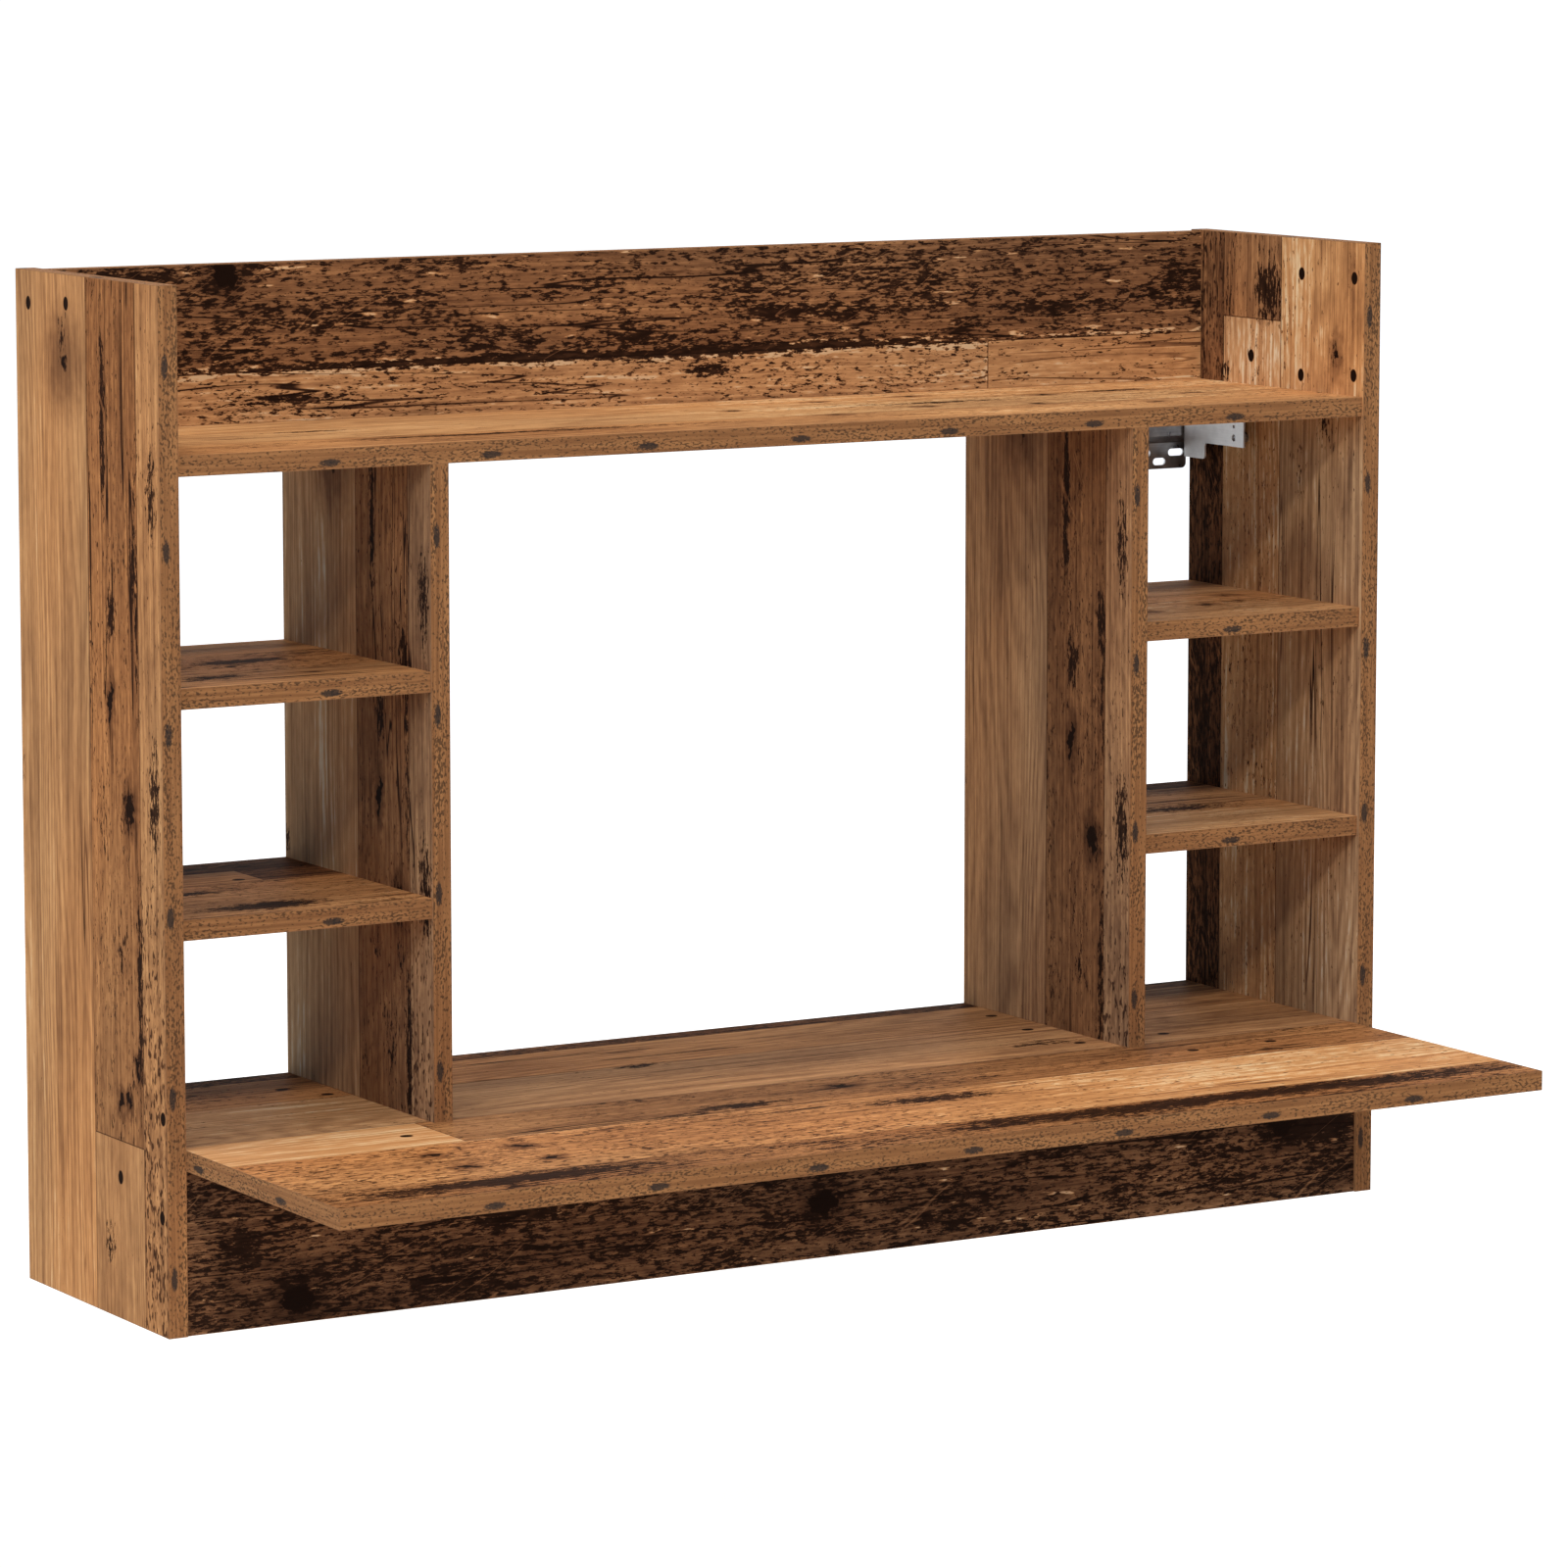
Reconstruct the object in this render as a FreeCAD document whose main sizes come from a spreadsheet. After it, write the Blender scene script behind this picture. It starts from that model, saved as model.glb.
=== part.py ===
"""A wall-mounted desk of 15 mm boards that hangs on two adjustable cabinet hangers.

The origin is on the wall, midway between the lower slots of the two wall plates. X runs to the right,
Y into the wall and Z up. Only the right half is drawn: the left one is its mirror in the plane X = 0.
"""
import FreeCAD
import Part
import Sketcher
import math
import os
from types import SimpleNamespace

SIZES = {
    # Boards
    "overall_width": 1050,
    "overall_height": 750,
    "desktop_depth": 480,
    "cabinet_depth": 240,
    "board": 15,
    "tray_height": 120,
    "desktop_height": 135,
    "bay_width": 200,
    "front_setback": 2,
    "shelf_setback": 3,
    "back_panel_drop": 1,
    # Knock-down joints
    "dowel_diameter": 8,
    "dowel_length": 30,
    "dowel_face_depth": 10,
    "bore_clearance": 0.05,
    "bore_relief": 0.5,
    "cam_diameter": 15,
    "cam_depth": 12,
    "cam_inset": 24,
    "cam_clearance": 0.3,
    "drive_length": 9,
    "drive_width": 1.8,
    "drive_depth": 2.4,
    "bolt_diameter": 6,
    "bolt_face_depth": 11,
    "bolt_neck_diameter": 4,
    "bolt_head_diameter": 6.6,
    "bolt_head_length": 3.5,
    "edge_inset": 40,
    "dowel_pitch": 35,
    "shelf_joint_inset": 60,
    "divider_screw_diameter": 5,
    "divider_screw_head": 9,
    "divider_screw_sink": 2.5,
    "divider_screw_length": 50,
    # Hanger housing
    "slot_drop": 52,
    "hanger_width": 12,
    "hanger_steel": 1.5,
    "hanger_gap": 10,
    "hanger_length": 83.5,
    "hanger_front_drop": 35,
    "hanger_rear_drop": 48,
    "hanger_rear_length": 29,
    "hanger_step_radius": 3,
    "post_diameter": 8,
    "post_depth": 10,
    "front_post_inset": 13.6,
    "front_post_drop": 28,
    "rear_post_inset": 10,
    "rear_post_drop": 40,
    "access_hole": 5.5,
    "pilot_hole": 3,
    "pilot_drop": 19,
    # Hanger mechanism
    "play": 0.3,
    "screw_float": 0.1,
    "screw_diameter": 4,
    "screw_head_diameter": 6.6,
    "screw_head_height": 2.6,
    "screw_offset": 3.9,
    "screw_neck_diameter": 3,
    "cross_length": 4.6,
    "cross_width": 1,
    "cross_depth": 1.3,
    "depth_thread": 15.5,
    "shoulder_length": 2,
    "depth_screw_drop": 13,
    "height_travel": 5,
    "height_screw_inset": 50,
    "height_screw_tip": 1,
    "carriage_nose": 18,
    "carriage_tail": 4,
    "lug_margin": 6,
    "hook_steel": 3,
    "hook_height": 11,
    "hook_nose_radius": 5,
    "nut_length": 12,
    "nut_height": 8,
    "lip_margin": 1,
    "lip_wall_gap": 1.5,
    # Wall plate
    "plate_width": 52,
    "plate_steel": 2,
    "plate_inset": 31,
    "plate_foot": 6,
    "plate_top": 29,
    "plate_corner": 4,
    "joggle_low": 15,
    "joggle_high": 21,
    "joggle_depth": 5.5,
    "slot_width": 5.8,
    "lower_slot_length": 12,
    "upper_slot_length": 14.7,
    "upper_slot_pitch": 32,
    "upper_slot_rise": 7,
}
FASTENER_SIDES = 8
CAM_SIDES = 12
MIDDLE = FreeCAD.Vector(0, 0, 0)
X_AXIS = FreeCAD.Vector(1, 0, 0)
Y_AXIS = FreeCAD.Vector(0, 1, 0)
Z_AXIS = FreeCAD.Vector(0, 0, 1)

doc = FreeCAD.newDocument("wall_desk")
sheet = doc.addObject("Spreadsheet::Sheet", "Sizes")


class Size:
    """A length worked out from the sheet: its value, and the formula that binds it to the cells."""

    def __init__(self, value, formula):
        self.value = value
        self.formula = formula

    def __add__(self, other):
        other = as_size(other)
        return Size(self.value + other.value, f"({self.formula} + {other.formula})")

    def __sub__(self, other):
        other = as_size(other)
        return Size(self.value - other.value, f"({self.formula} - {other.formula})")

    def __mul__(self, number):
        return Size(self.value * number, f"({self.formula} * {number})")

    def __truediv__(self, number):
        return Size(self.value / number, f"({self.formula} / {number})")

    def __neg__(self):
        return Size(-self.value, f"(0 - {self.formula})")


def as_size(number):
    """A plain number as a size, so that both can be used alike."""
    return number if isinstance(number, Size) else Size(number, f"({number})")


def driving_size(row, name, value):
    """Writes one driving dimension to its row of the sheet and returns it as a size."""
    sheet.set(f"A{row}", name)
    sheet.set(f"B{row}", str(value))
    sheet.setAlias(f"B{row}", name)
    return Size(value, f"Sizes.{name}")


D = SimpleNamespace(**{name: driving_size(row, name, SIZES[name]) for row, name in enumerate(SIZES, start=1)})
doc.recompute()

# Boards: the planes that they share
inner = D.overall_width / 2 - D.board
front = -D.cabinet_depth
under_shelf = D.slot_drop
shelf_top = under_shelf + D.board
bottom = shelf_top + D.tray_height - D.overall_height
desk_top = bottom + D.desktop_height
desk_under = desk_top - D.board
divider_outer = inner - D.bay_width
divider_inner = divider_outer - D.board
divider_middle = divider_outer - D.board / 2
bay_pitch = (under_shelf - desk_top + D.board) / 3
apron_height = D.desktop_height - D.board
back_panel_height = D.tray_height - D.back_panel_drop

# Hanger: the planes that its pieces share, with X counted from the side panel's inner face
wall_inside = -(D.hanger_width - D.hanger_steel)
hook_outside = wall_inside + D.play
hook_inside = hook_outside + D.hook_steel
carriage_outside = hook_inside + D.play
carriage_inside = -D.play
screw_x = -D.screw_offset
housing_rear = -D.hanger_gap
housing_front = housing_rear - D.hanger_length
housing_step = housing_rear - D.hanger_rear_length
housing_low = under_shelf - D.hanger_front_drop
housing_rear_low = under_shelf - D.hanger_rear_drop
carriage_low = housing_low + D.hanger_steel + D.play
carriage_high = under_shelf - D.hanger_steel - D.play
height_screw_y = -D.height_screw_inset
nut_front = height_screw_y - D.nut_length / 2
nut_rear = height_screw_y + D.nut_length / 2
nut_middle = D.plate_top + D.hook_height / 2
nut_low = nut_middle - D.nut_height / 2
nut_high = nut_middle + D.nut_height / 2
window_front = nut_front - D.play
window_rear = nut_rear + D.play
window_low = nut_low - D.height_travel - D.play
window_high = nut_high + D.height_travel + D.play
carriage_front = window_front - D.carriage_nose
carriage_rear = window_rear + D.carriage_tail
depth_screw_z = under_shelf - D.depth_screw_drop
depth_shoulder = carriage_front - D.shoulder_length
lug_rear = depth_shoulder - D.screw_float
lug_front = lug_rear - D.hanger_steel
lug_low = depth_screw_z - D.lug_margin
depth_head_rear = lug_front - D.screw_float
front_post = (housing_front + D.front_post_inset, under_shelf - D.front_post_drop)
rear_post = (housing_rear - D.rear_post_inset, under_shelf - D.rear_post_drop)


def add(kind, name):
    """A new object of the document, labelled with its name."""
    thing = doc.addObject(kind, name)
    thing.Label = name
    return thing


def bind(thing, **properties):
    """Ties properties to the sheet."""
    for name, size in properties.items():
        thing.setExpression(name, as_size(size).formula)


def place(thing, x, y, z, rotation=None):
    """Turns a thing and ties its position to the sheet."""
    thing.Placement = FreeCAD.Placement(MIDDLE, rotation or FreeCAD.Rotation())
    for axis, size in zip("xyz", (x, y, z)):
        thing.setExpression(f"Placement.Base.{axis}", as_size(size).formula)
    return thing


def block(name, corner, sides):
    """A box from its lowest corner and its three sides."""
    box = add("Part::Box", name)
    bind(box, Length=sides[0], Width=sides[1], Height=sides[2])
    return place(box, *corner)


def rod(name, start, direction, diameter, length, sides=FASTENER_SIDES):
    """A bar with flat sides, or the drill for its hole, from its start along a direction."""
    bar = add("Part::Prism", name)
    bar.Polygon = sides
    bind(bar, Circumradius=diameter / 2, Height=length)
    return place(bar, *start, FreeCAD.Rotation(Z_AXIS, direction))


def stepped_rod(name, steps):
    """Bars of (diameter, start, end) in a row along Z, joined into one."""
    bars = []
    for number, (diameter, start, end) in enumerate(steps):
        bars.append(rod(f"{name}_{number}", (0, 0, start), Z_AXIS, diameter, end - start))
    return fuse(name, bars)


def fuse(name, things):
    """One tool out of many, which may touch or cross."""
    joined = add("Part::MultiFuse", name)
    joined.Shapes = things
    return joined


def cut(name, base, tool):
    """The base without the tool."""
    left_over = add("Part::Cut", name)
    left_over.Base = base
    left_over.Tool = tool
    return left_over


def mirror(name, source):
    """The same thing on the left half of the desk."""
    twin = add("Part::Mirroring", name)
    twin.Source = source
    twin.Base = MIDDLE
    twin.Normal = X_AXIS
    return twin


def group(name, things):
    """Separate solids under one name."""
    together = add("Part::Compound", name)
    together.Links = things
    return together


def copy_of(master, name, position, rotation):
    """Another of a piece that is drawn once."""
    link = doc.addObject("App::Link", name)
    link.LinkedObject = master
    return place(link, *position, rotation)


def shifted(point, direction, distance):
    """The point moved along one of the axes."""
    return tuple(as_size(p) + distance * d for p, d in zip(point, direction))


def new_body(name):
    """An empty body for features."""
    return add("PartDesign::Body", name)


def new_sketch(body, name, role, offset=0):
    """A sketch on one of the body's own planes, moved along that plane's normal."""
    plane = next(feature for feature in body.Origin.OriginFeatures if feature.Role == role)
    sketch = body.newObject("Sketcher::SketchObject", name)
    sketch.AttachmentSupport = [(plane, "")]
    sketch.MapMode = "FlatFace"
    sketch.setExpression("AttachmentOffset.Base.z", as_size(offset).formula)
    return sketch


def hold(sketch, edge, end, point):
    """Ties a point of the sketch to the sheet."""
    for kind, size in zip(("DistanceX", "DistanceY"), point):
        size = as_size(size)
        index = sketch.addConstraint(Sketcher.Constraint(kind, -1, 1, edge, end, size.value))
        sketch.setExpression(f"Constraints[{index}]", size.formula)


def hold_radius(sketch, edge, radius):
    """Ties the radius of a circle or an arc to the sheet."""
    index = sketch.addConstraint(Sketcher.Constraint("Radius", edge, radius.value))
    sketch.setExpression(f"Constraints[{index}]", radius.formula)


def flat(point):
    """A sketch point's place in the sketch plane."""
    return FreeCAD.Vector(as_size(point[0]).value, as_size(point[1]).value, 0)


def draw_outline(sketch, points):
    """A closed outline of straight edges."""
    ends = points[1:] + points[:1]
    edges = [sketch.addGeometry(Part.LineSegment(flat(a), flat(b)), False) for a, b in zip(points, ends)]
    for edge, following in zip(edges, edges[1:] + edges[:1]):
        sketch.addConstraint(Sketcher.Constraint("Coincident", edge, 2, following, 1))
    for edge, point in zip(edges, points):
        hold(sketch, edge, 1, point)


def draw_rectangle(sketch, low, high):
    """An upright rectangle from its lowest to its highest corner."""
    draw_outline(sketch, [low, (high[0], low[1]), high, (low[0], high[1])])


def draw_circle(sketch, centre, diameter):
    """A circle."""
    radius = diameter / 2
    edge = sketch.addGeometry(Part.Circle(flat(centre), Z_AXIS, radius.value), False)
    hold(sketch, edge, 3, centre)
    hold_radius(sketch, edge, radius)


def draw_slot(sketch, centre, length, width):
    """A slot with round ends along the sketch's first axis."""
    radius = width / 2
    reach = length / 2 - radius
    right = (centre[0] + reach, as_size(centre[1]))
    left = (centre[0] - reach, as_size(centre[1]))
    rise = FreeCAD.Vector(0, radius.value, 0)
    quarter = math.pi / 2
    top = sketch.addGeometry(Part.LineSegment(flat(left) + rise, flat(right) + rise), False)
    base = sketch.addGeometry(Part.LineSegment(flat(right) - rise, flat(left) - rise), False)
    ends = []
    for point, start in ((right, -quarter), (left, quarter)):
        circle = Part.Circle(flat(point), Z_AXIS, radius.value)
        ends.append(sketch.addGeometry(Part.ArcOfCircle(circle, start, start + math.pi), False))
    for line, line_end, arc, arc_end in ((top, 2, 0, 2), (base, 1, 0, 1), (top, 1, 1, 1), (base, 2, 1, 2)):
        sketch.addConstraint(Sketcher.Constraint("Tangent", line, line_end, ends[arc], arc_end))
    for arc, point in zip(ends, (right, left)):
        hold(sketch, arc, 3, point)
        hold_radius(sketch, arc, radius)


def pad(body, sketch, length):
    """Raises a sketch along its normal."""
    feature = body.newObject("PartDesign::Pad", f"{sketch.Name}_pad")
    feature.Profile = sketch
    bind(feature, Length=length)
    doc.recompute()
    return feature


def pocket(body, sketch, depth):
    """Cuts a sketch against its normal, and makes sure that it met the solid."""
    before = body.Shape.Volume
    feature = body.newObject("PartDesign::Pocket", f"{sketch.Name}_pocket")
    feature.Profile = sketch
    bind(feature, Length=depth)
    doc.recompute()
    if body.Shape.Volume >= before:
        raise ValueError(f"{sketch.Name} cuts nothing from {body.Label}")
    return feature


def round_edges(body, name, radius, along, points):
    """Rounds the edges that run along an axis through the given points of the body's own frame."""
    base = body.Tip
    chosen = []
    for number, edge in enumerate(base.Shape.Edges, start=1):
        run = edge.Vertexes[-1].Point - edge.Vertexes[0].Point
        if run.cross(along).Length > 1e-6 or run.Length < 1e-6:
            continue
        for point in points:
            offset = edge.Vertexes[0].Point - FreeCAD.Vector(*(as_size(value).value for value in point))
            if offset.cross(along).Length < 1e-6:
                chosen.append(f"Edge{number}")
    if len(chosen) != len(points):
        raise ValueError(f"{name}: {len(chosen)} edges found for {len(points)} corners")
    feature = body.newObject("PartDesign::Fillet", name)
    feature.Base = (base, chosen)
    bind(feature, Radius=radius)
    doc.recompute()


def turned(name, profile):
    """A body turned about its own Z axis from (diameter, distance along the axis) steps."""
    body = new_body(name)
    sketch = new_sketch(body, f"{name}_profile", "XZ_Plane")
    outline = [(0, profile[0][1])] + [(diameter / 2, along) for diameter, along in profile]
    draw_outline(sketch, outline + [(0, profile[-1][1])])
    feature = body.newObject("PartDesign::Revolution", f"{name}_turning")
    feature.Profile = sketch
    feature.ReferenceAxis = (sketch, ["V_Axis"])
    doc.recompute()
    return body


def cross_recess(body, length, width, depth):
    """Cuts a cross-shaped drive into a screw head whose face is at the bottom of the body's axis."""
    for arm, (across, along) in enumerate(((length, width), (width, length))):
        sketch = new_sketch(body, f"{body.Name}_cross_{arm}", "XY_Plane", depth)
        draw_rectangle(sketch, (-(across / 2), -(along / 2)), (across / 2, along / 2))
        pocket(body, sketch, depth)


def hanger_housing():
    """Folded steel cover of the mechanism, with a notched lug that holds the depth screw by its neck."""
    body = new_body("right_hanger_housing")
    place(body, inner, 0, 0)
    sketch = new_sketch(body, "housing_wall", "YZ_Plane", -D.hanger_width)
    draw_outline(sketch, [
        (housing_front, housing_low),
        (housing_step, housing_low),
        (housing_step, housing_rear_low),
        (housing_rear, housing_rear_low),
        (housing_rear, under_shelf),
        (housing_front, under_shelf),
    ])
    pad(body, sketch, D.hanger_steel)
    corners = [(-D.hanger_width, housing_step, height) for height in (housing_low, housing_rear_low)]
    round_edges(body, "housing_step_rounding", D.hanger_step_radius, X_AXIS, corners)
    folds = {
        "housing_roof": ((housing_front, under_shelf - D.hanger_steel), (housing_rear, under_shelf)),
        "housing_floor": ((lug_front, housing_low),
                          (housing_step - D.hanger_step_radius, housing_low + D.hanger_steel)),
        "housing_lug": ((lug_front, lug_low), (lug_rear, under_shelf - D.hanger_steel)),
    }
    for name, (low, high) in folds.items():
        sketch = new_sketch(body, name, "YZ_Plane", wall_inside)
        draw_rectangle(sketch, low, high)
        pad(body, sketch, D.hanger_width - D.hanger_steel)
    notch = D.screw_neck_diameter + D.bore_clearance * 2
    sketch = new_sketch(body, "housing_notch_seat", "XZ_Plane", -lug_front)
    draw_circle(sketch, (screw_x, depth_screw_z), notch)
    pocket(body, sketch, D.hanger_steel)
    sketch = new_sketch(body, "housing_notch_mouth", "XZ_Plane", -lug_front)
    draw_rectangle(sketch, (screw_x - notch / 2, lug_low), (screw_x + notch / 2, depth_screw_z))
    pocket(body, sketch, D.hanger_steel)
    sketch = new_sketch(body, "housing_head_slot", "XY_Plane", housing_low + D.hanger_steel)
    reach = D.screw_head_diameter / 2 + D.play
    draw_rectangle(sketch, (screw_x - reach, height_screw_y - reach), (screw_x + reach, housing_step))
    pocket(body, sketch, D.hanger_steel)
    sketch = new_sketch(body, "housing_wall_holes", "YZ_Plane", wall_inside)
    draw_circle(sketch, front_post, D.access_hole)
    draw_circle(sketch, (front_post[0], under_shelf - D.pilot_drop), D.pilot_hole)
    pocket(body, sketch, D.hanger_steel)
    return body


def hanger_posts():
    """Two posts that carry the housing and press into the side panel."""
    posts = []
    for end, (y, z) in (("front", front_post), ("rear", rear_post)):
        start = (inner + wall_inside, y, z)
        posts.append(rod(f"{end}_post", start, X_AXIS, D.post_diameter, D.post_depth - wall_inside))
    return group("right_hanger_posts", posts)


def hanger_carriage():
    """Block that the depth screw moves along the housing, with a window for the hook's nut."""
    body = new_body("right_hanger_carriage")
    place(body, inner, 0, 0)
    thickness = carriage_inside - carriage_outside
    sketch = new_sketch(body, "carriage_block", "YZ_Plane", carriage_outside)
    draw_rectangle(sketch, (carriage_front, carriage_low), (carriage_rear, carriage_high))
    pad(body, sketch, thickness)
    sketch = new_sketch(body, "carriage_window", "YZ_Plane", carriage_inside)
    draw_rectangle(sketch, (window_front, window_low), (window_rear, window_high))
    pocket(body, sketch, thickness)
    sketch = new_sketch(body, "carriage_height_bore", "XY_Plane", carriage_high)
    draw_circle(sketch, (screw_x, height_screw_y), D.screw_diameter + D.bore_clearance * 2)
    pocket(body, sketch, carriage_high - carriage_low)
    sketch = new_sketch(body, "carriage_depth_bore", "XZ_Plane", -carriage_front)
    draw_circle(sketch, (screw_x, depth_screw_z), D.screw_diameter + D.bore_clearance * 2)
    pocket(body, sketch, D.depth_thread + D.bore_relief)
    return body


def hanger_hook():
    """Flat steel arm that hooks over the wall plate, with the nut that the height screw moves."""
    body = new_body("right_hanger_hook")
    place(body, inner, 0, 0)
    arm_high = D.plate_top + D.hook_height
    lip_front = -D.joggle_depth + D.play
    lip_rear = -D.lip_wall_gap
    lip_low = D.joggle_high + D.lip_margin
    sketch = new_sketch(body, "hook_arm", "YZ_Plane", hook_outside)
    draw_outline(sketch, [
        (nut_front, D.plate_top),
        (lip_front, D.plate_top),
        (lip_front, lip_low),
        (lip_rear, lip_low),
        (lip_rear, arm_high),
        (nut_front, arm_high),
    ])
    pad(body, sketch, D.hook_steel)
    round_edges(body, "hook_nose_rounding", D.hook_nose_radius, X_AXIS, [(hook_outside, lip_rear, arm_high)])
    sketch = new_sketch(body, "hook_nut", "YZ_Plane", hook_inside)
    draw_rectangle(sketch, (nut_front, nut_low), (nut_rear, nut_high))
    pad(body, sketch, -D.play * 2 - hook_inside)
    sketch = new_sketch(body, "hook_thread", "XY_Plane", nut_high)
    draw_circle(sketch, (screw_x, height_screw_y), D.screw_diameter + D.bore_clearance * 2)
    pocket(body, sketch, D.nut_height)
    return body


def wall_plate():
    """Stepped plate for the wall: a flat foot with slots, and a flange in front that the hook goes over."""
    body = new_body("right_wall_plate")
    place(body, inner, 0, 0)
    left = -D.plate_inset - D.plate_width / 2
    right = -D.plate_inset + D.plate_width / 2
    flange_back = -D.joggle_depth
    flange_front = flange_back - D.plate_steel
    foot_low = -D.plate_foot
    sketch = new_sketch(body, "plate_profile", "YZ_Plane", left)
    draw_outline(sketch, [
        (0, foot_low),
        (0, D.joggle_low),
        (flange_back, D.joggle_high),
        (flange_back, D.plate_top),
        (flange_front, D.plate_top),
        (flange_front, D.joggle_high),
        (-D.plate_steel, D.joggle_low),
        (-D.plate_steel, foot_low),
    ])
    pad(body, sketch, D.plate_width)
    sketch = new_sketch(body, "plate_slots", "XZ_Plane", D.plate_steel)
    draw_slot(sketch, (-D.plate_inset, 0), D.lower_slot_length, D.slot_width)
    for side in (-1, 1):
        centre = (-D.plate_inset + D.upper_slot_pitch / 2 * side, D.upper_slot_rise)
        draw_slot(sketch, centre, D.upper_slot_length, D.slot_width)
    pocket(body, sketch, D.plate_steel)
    corners = [(x, 0, foot_low) for x in (left, right)]
    round_edges(body, "plate_corner_rounding", D.plate_corner, Y_AXIS, corners)
    return body


def depth_screw():
    """Screw whose neck turns in the notch of the housing's lug, and whose thread moves the carriage."""
    neck_end = D.screw_head_height + D.hanger_steel + D.screw_float * 2
    body = turned("right_depth_screw", [
        (D.screw_head_diameter, as_size(0)),
        (D.screw_head_diameter, D.screw_head_height),
        (D.screw_neck_diameter, D.screw_head_height),
        (D.screw_neck_diameter, neck_end),
        (D.screw_diameter, neck_end),
        (D.screw_diameter, neck_end + D.shoulder_length + D.depth_thread),
    ])
    cross_recess(body, D.cross_length, D.cross_width, D.cross_depth)
    head_front = depth_head_rear - D.screw_head_height
    return place(body, inner + screw_x, head_front, depth_screw_z, FreeCAD.Rotation(Z_AXIS, Y_AXIS))


def height_screw():
    """Screw that carries the carriage on its head and turns in the hook's nut."""
    head_low = carriage_low - D.screw_float - D.screw_head_height
    body = turned("right_height_screw", [
        (D.screw_head_diameter, as_size(0)),
        (D.screw_head_diameter, D.screw_head_height),
        (D.screw_diameter, D.screw_head_height),
        (D.screw_diameter, carriage_high - D.height_screw_tip - head_low),
    ])
    cross_recess(body, D.cross_length, D.cross_width, D.cross_depth)
    return place(body, inner + screw_x, height_screw_y, head_low)


def cam_bolt_master():
    """Bolt of a cam joint along Z: shank, neck and head above the face that it is screwed into at Z = 0."""
    shank_end = D.cam_inset - D.cam_diameter / 2 - D.cam_clearance
    head_start = D.cam_inset - D.bolt_head_length / 2
    head_end = D.cam_inset + D.bolt_head_length / 2
    return stepped_rod("cam_bolt_master", [
        (D.bolt_diameter, -D.bolt_face_depth, shank_end),
        (D.bolt_neck_diameter, shank_end, head_start),
        (D.bolt_head_diameter, head_start, head_end),
    ])


def cam_lock_master():
    """Cam disc with its face and cross drive at Z = 0, hollow below and towards +X for the bolt."""
    disc = rod("cam_disc", (0, 0, 0), -Z_AXIS, D.cam_diameter, D.cam_depth, CAM_SIDES)
    axis_z = -(D.board / 2)
    head_x = D.bolt_head_length / 2 + D.cam_clearance
    head_y = D.bolt_head_diameter / 2 + D.cam_clearance
    neck_y = D.bolt_neck_diameter / 2 + D.cam_clearance
    floor = -D.cam_depth
    hollows = [
        block("cam_head_hollow", (-head_x, -head_y, floor),
              (head_x * 2, head_y * 2, axis_z + head_y - floor)),
        block("cam_neck_slot", (0, -neck_y, floor),
              (D.cam_diameter, neck_y * 2, axis_z + neck_y - floor)),
        block("cam_drive_across", (-(D.drive_length / 2), -(D.drive_width / 2), -D.drive_depth),
              (D.drive_length, D.drive_width, D.drive_depth)),
        block("cam_drive_along", (-(D.drive_width / 2), -(D.drive_length / 2), -D.drive_depth),
              (D.drive_width, D.drive_length, D.drive_depth)),
    ]
    return cut("cam_lock_master", disc, fuse("cam_hollows", hollows))


def divider_screw_master():
    """Screw along Z, with its head's face at Z = 0."""
    return stepped_rod("divider_screw_master", [
        (D.divider_screw_head, as_size(0), D.divider_screw_sink),
        (D.divider_screw_diameter, D.divider_screw_sink, D.divider_screw_length),
    ])


def board_blanks():
    """The boards before drilling, by name: those in the middle and those of the right half."""
    full_width = inner * 2
    setback_depth = D.cabinet_depth - D.front_setback
    shelf_depth = D.cabinet_depth - D.shelf_setback
    setback_front = front + D.front_setback
    blanks = {
        "right_side_panel": ((inner, front, bottom), (D.board, D.cabinet_depth, D.overall_height)),
        "top_shelf": ((-inner, setback_front, under_shelf), (full_width, setback_depth, D.board)),
        "upper_back_panel": ((-inner, -D.board, shelf_top), (full_width, D.board, back_panel_height)),
        "desktop": ((-inner, -D.desktop_depth, desk_under), (full_width, D.desktop_depth, D.board)),
        "front_apron": ((-inner, setback_front, bottom), (full_width, D.board, apron_height)),
        "right_divider": ((divider_inner, setback_front, desk_top),
                          (D.board, setback_depth, under_shelf - desk_top)),
    }
    for step, name in enumerate(("right_lower_shelf", "right_upper_shelf"), start=1):
        corner = (divider_outer, front + D.shelf_setback, desk_top + bay_pitch * step - D.board)
        blanks[name] = (corner, (D.bay_width, shelf_depth, D.board))
    return blanks


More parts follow.
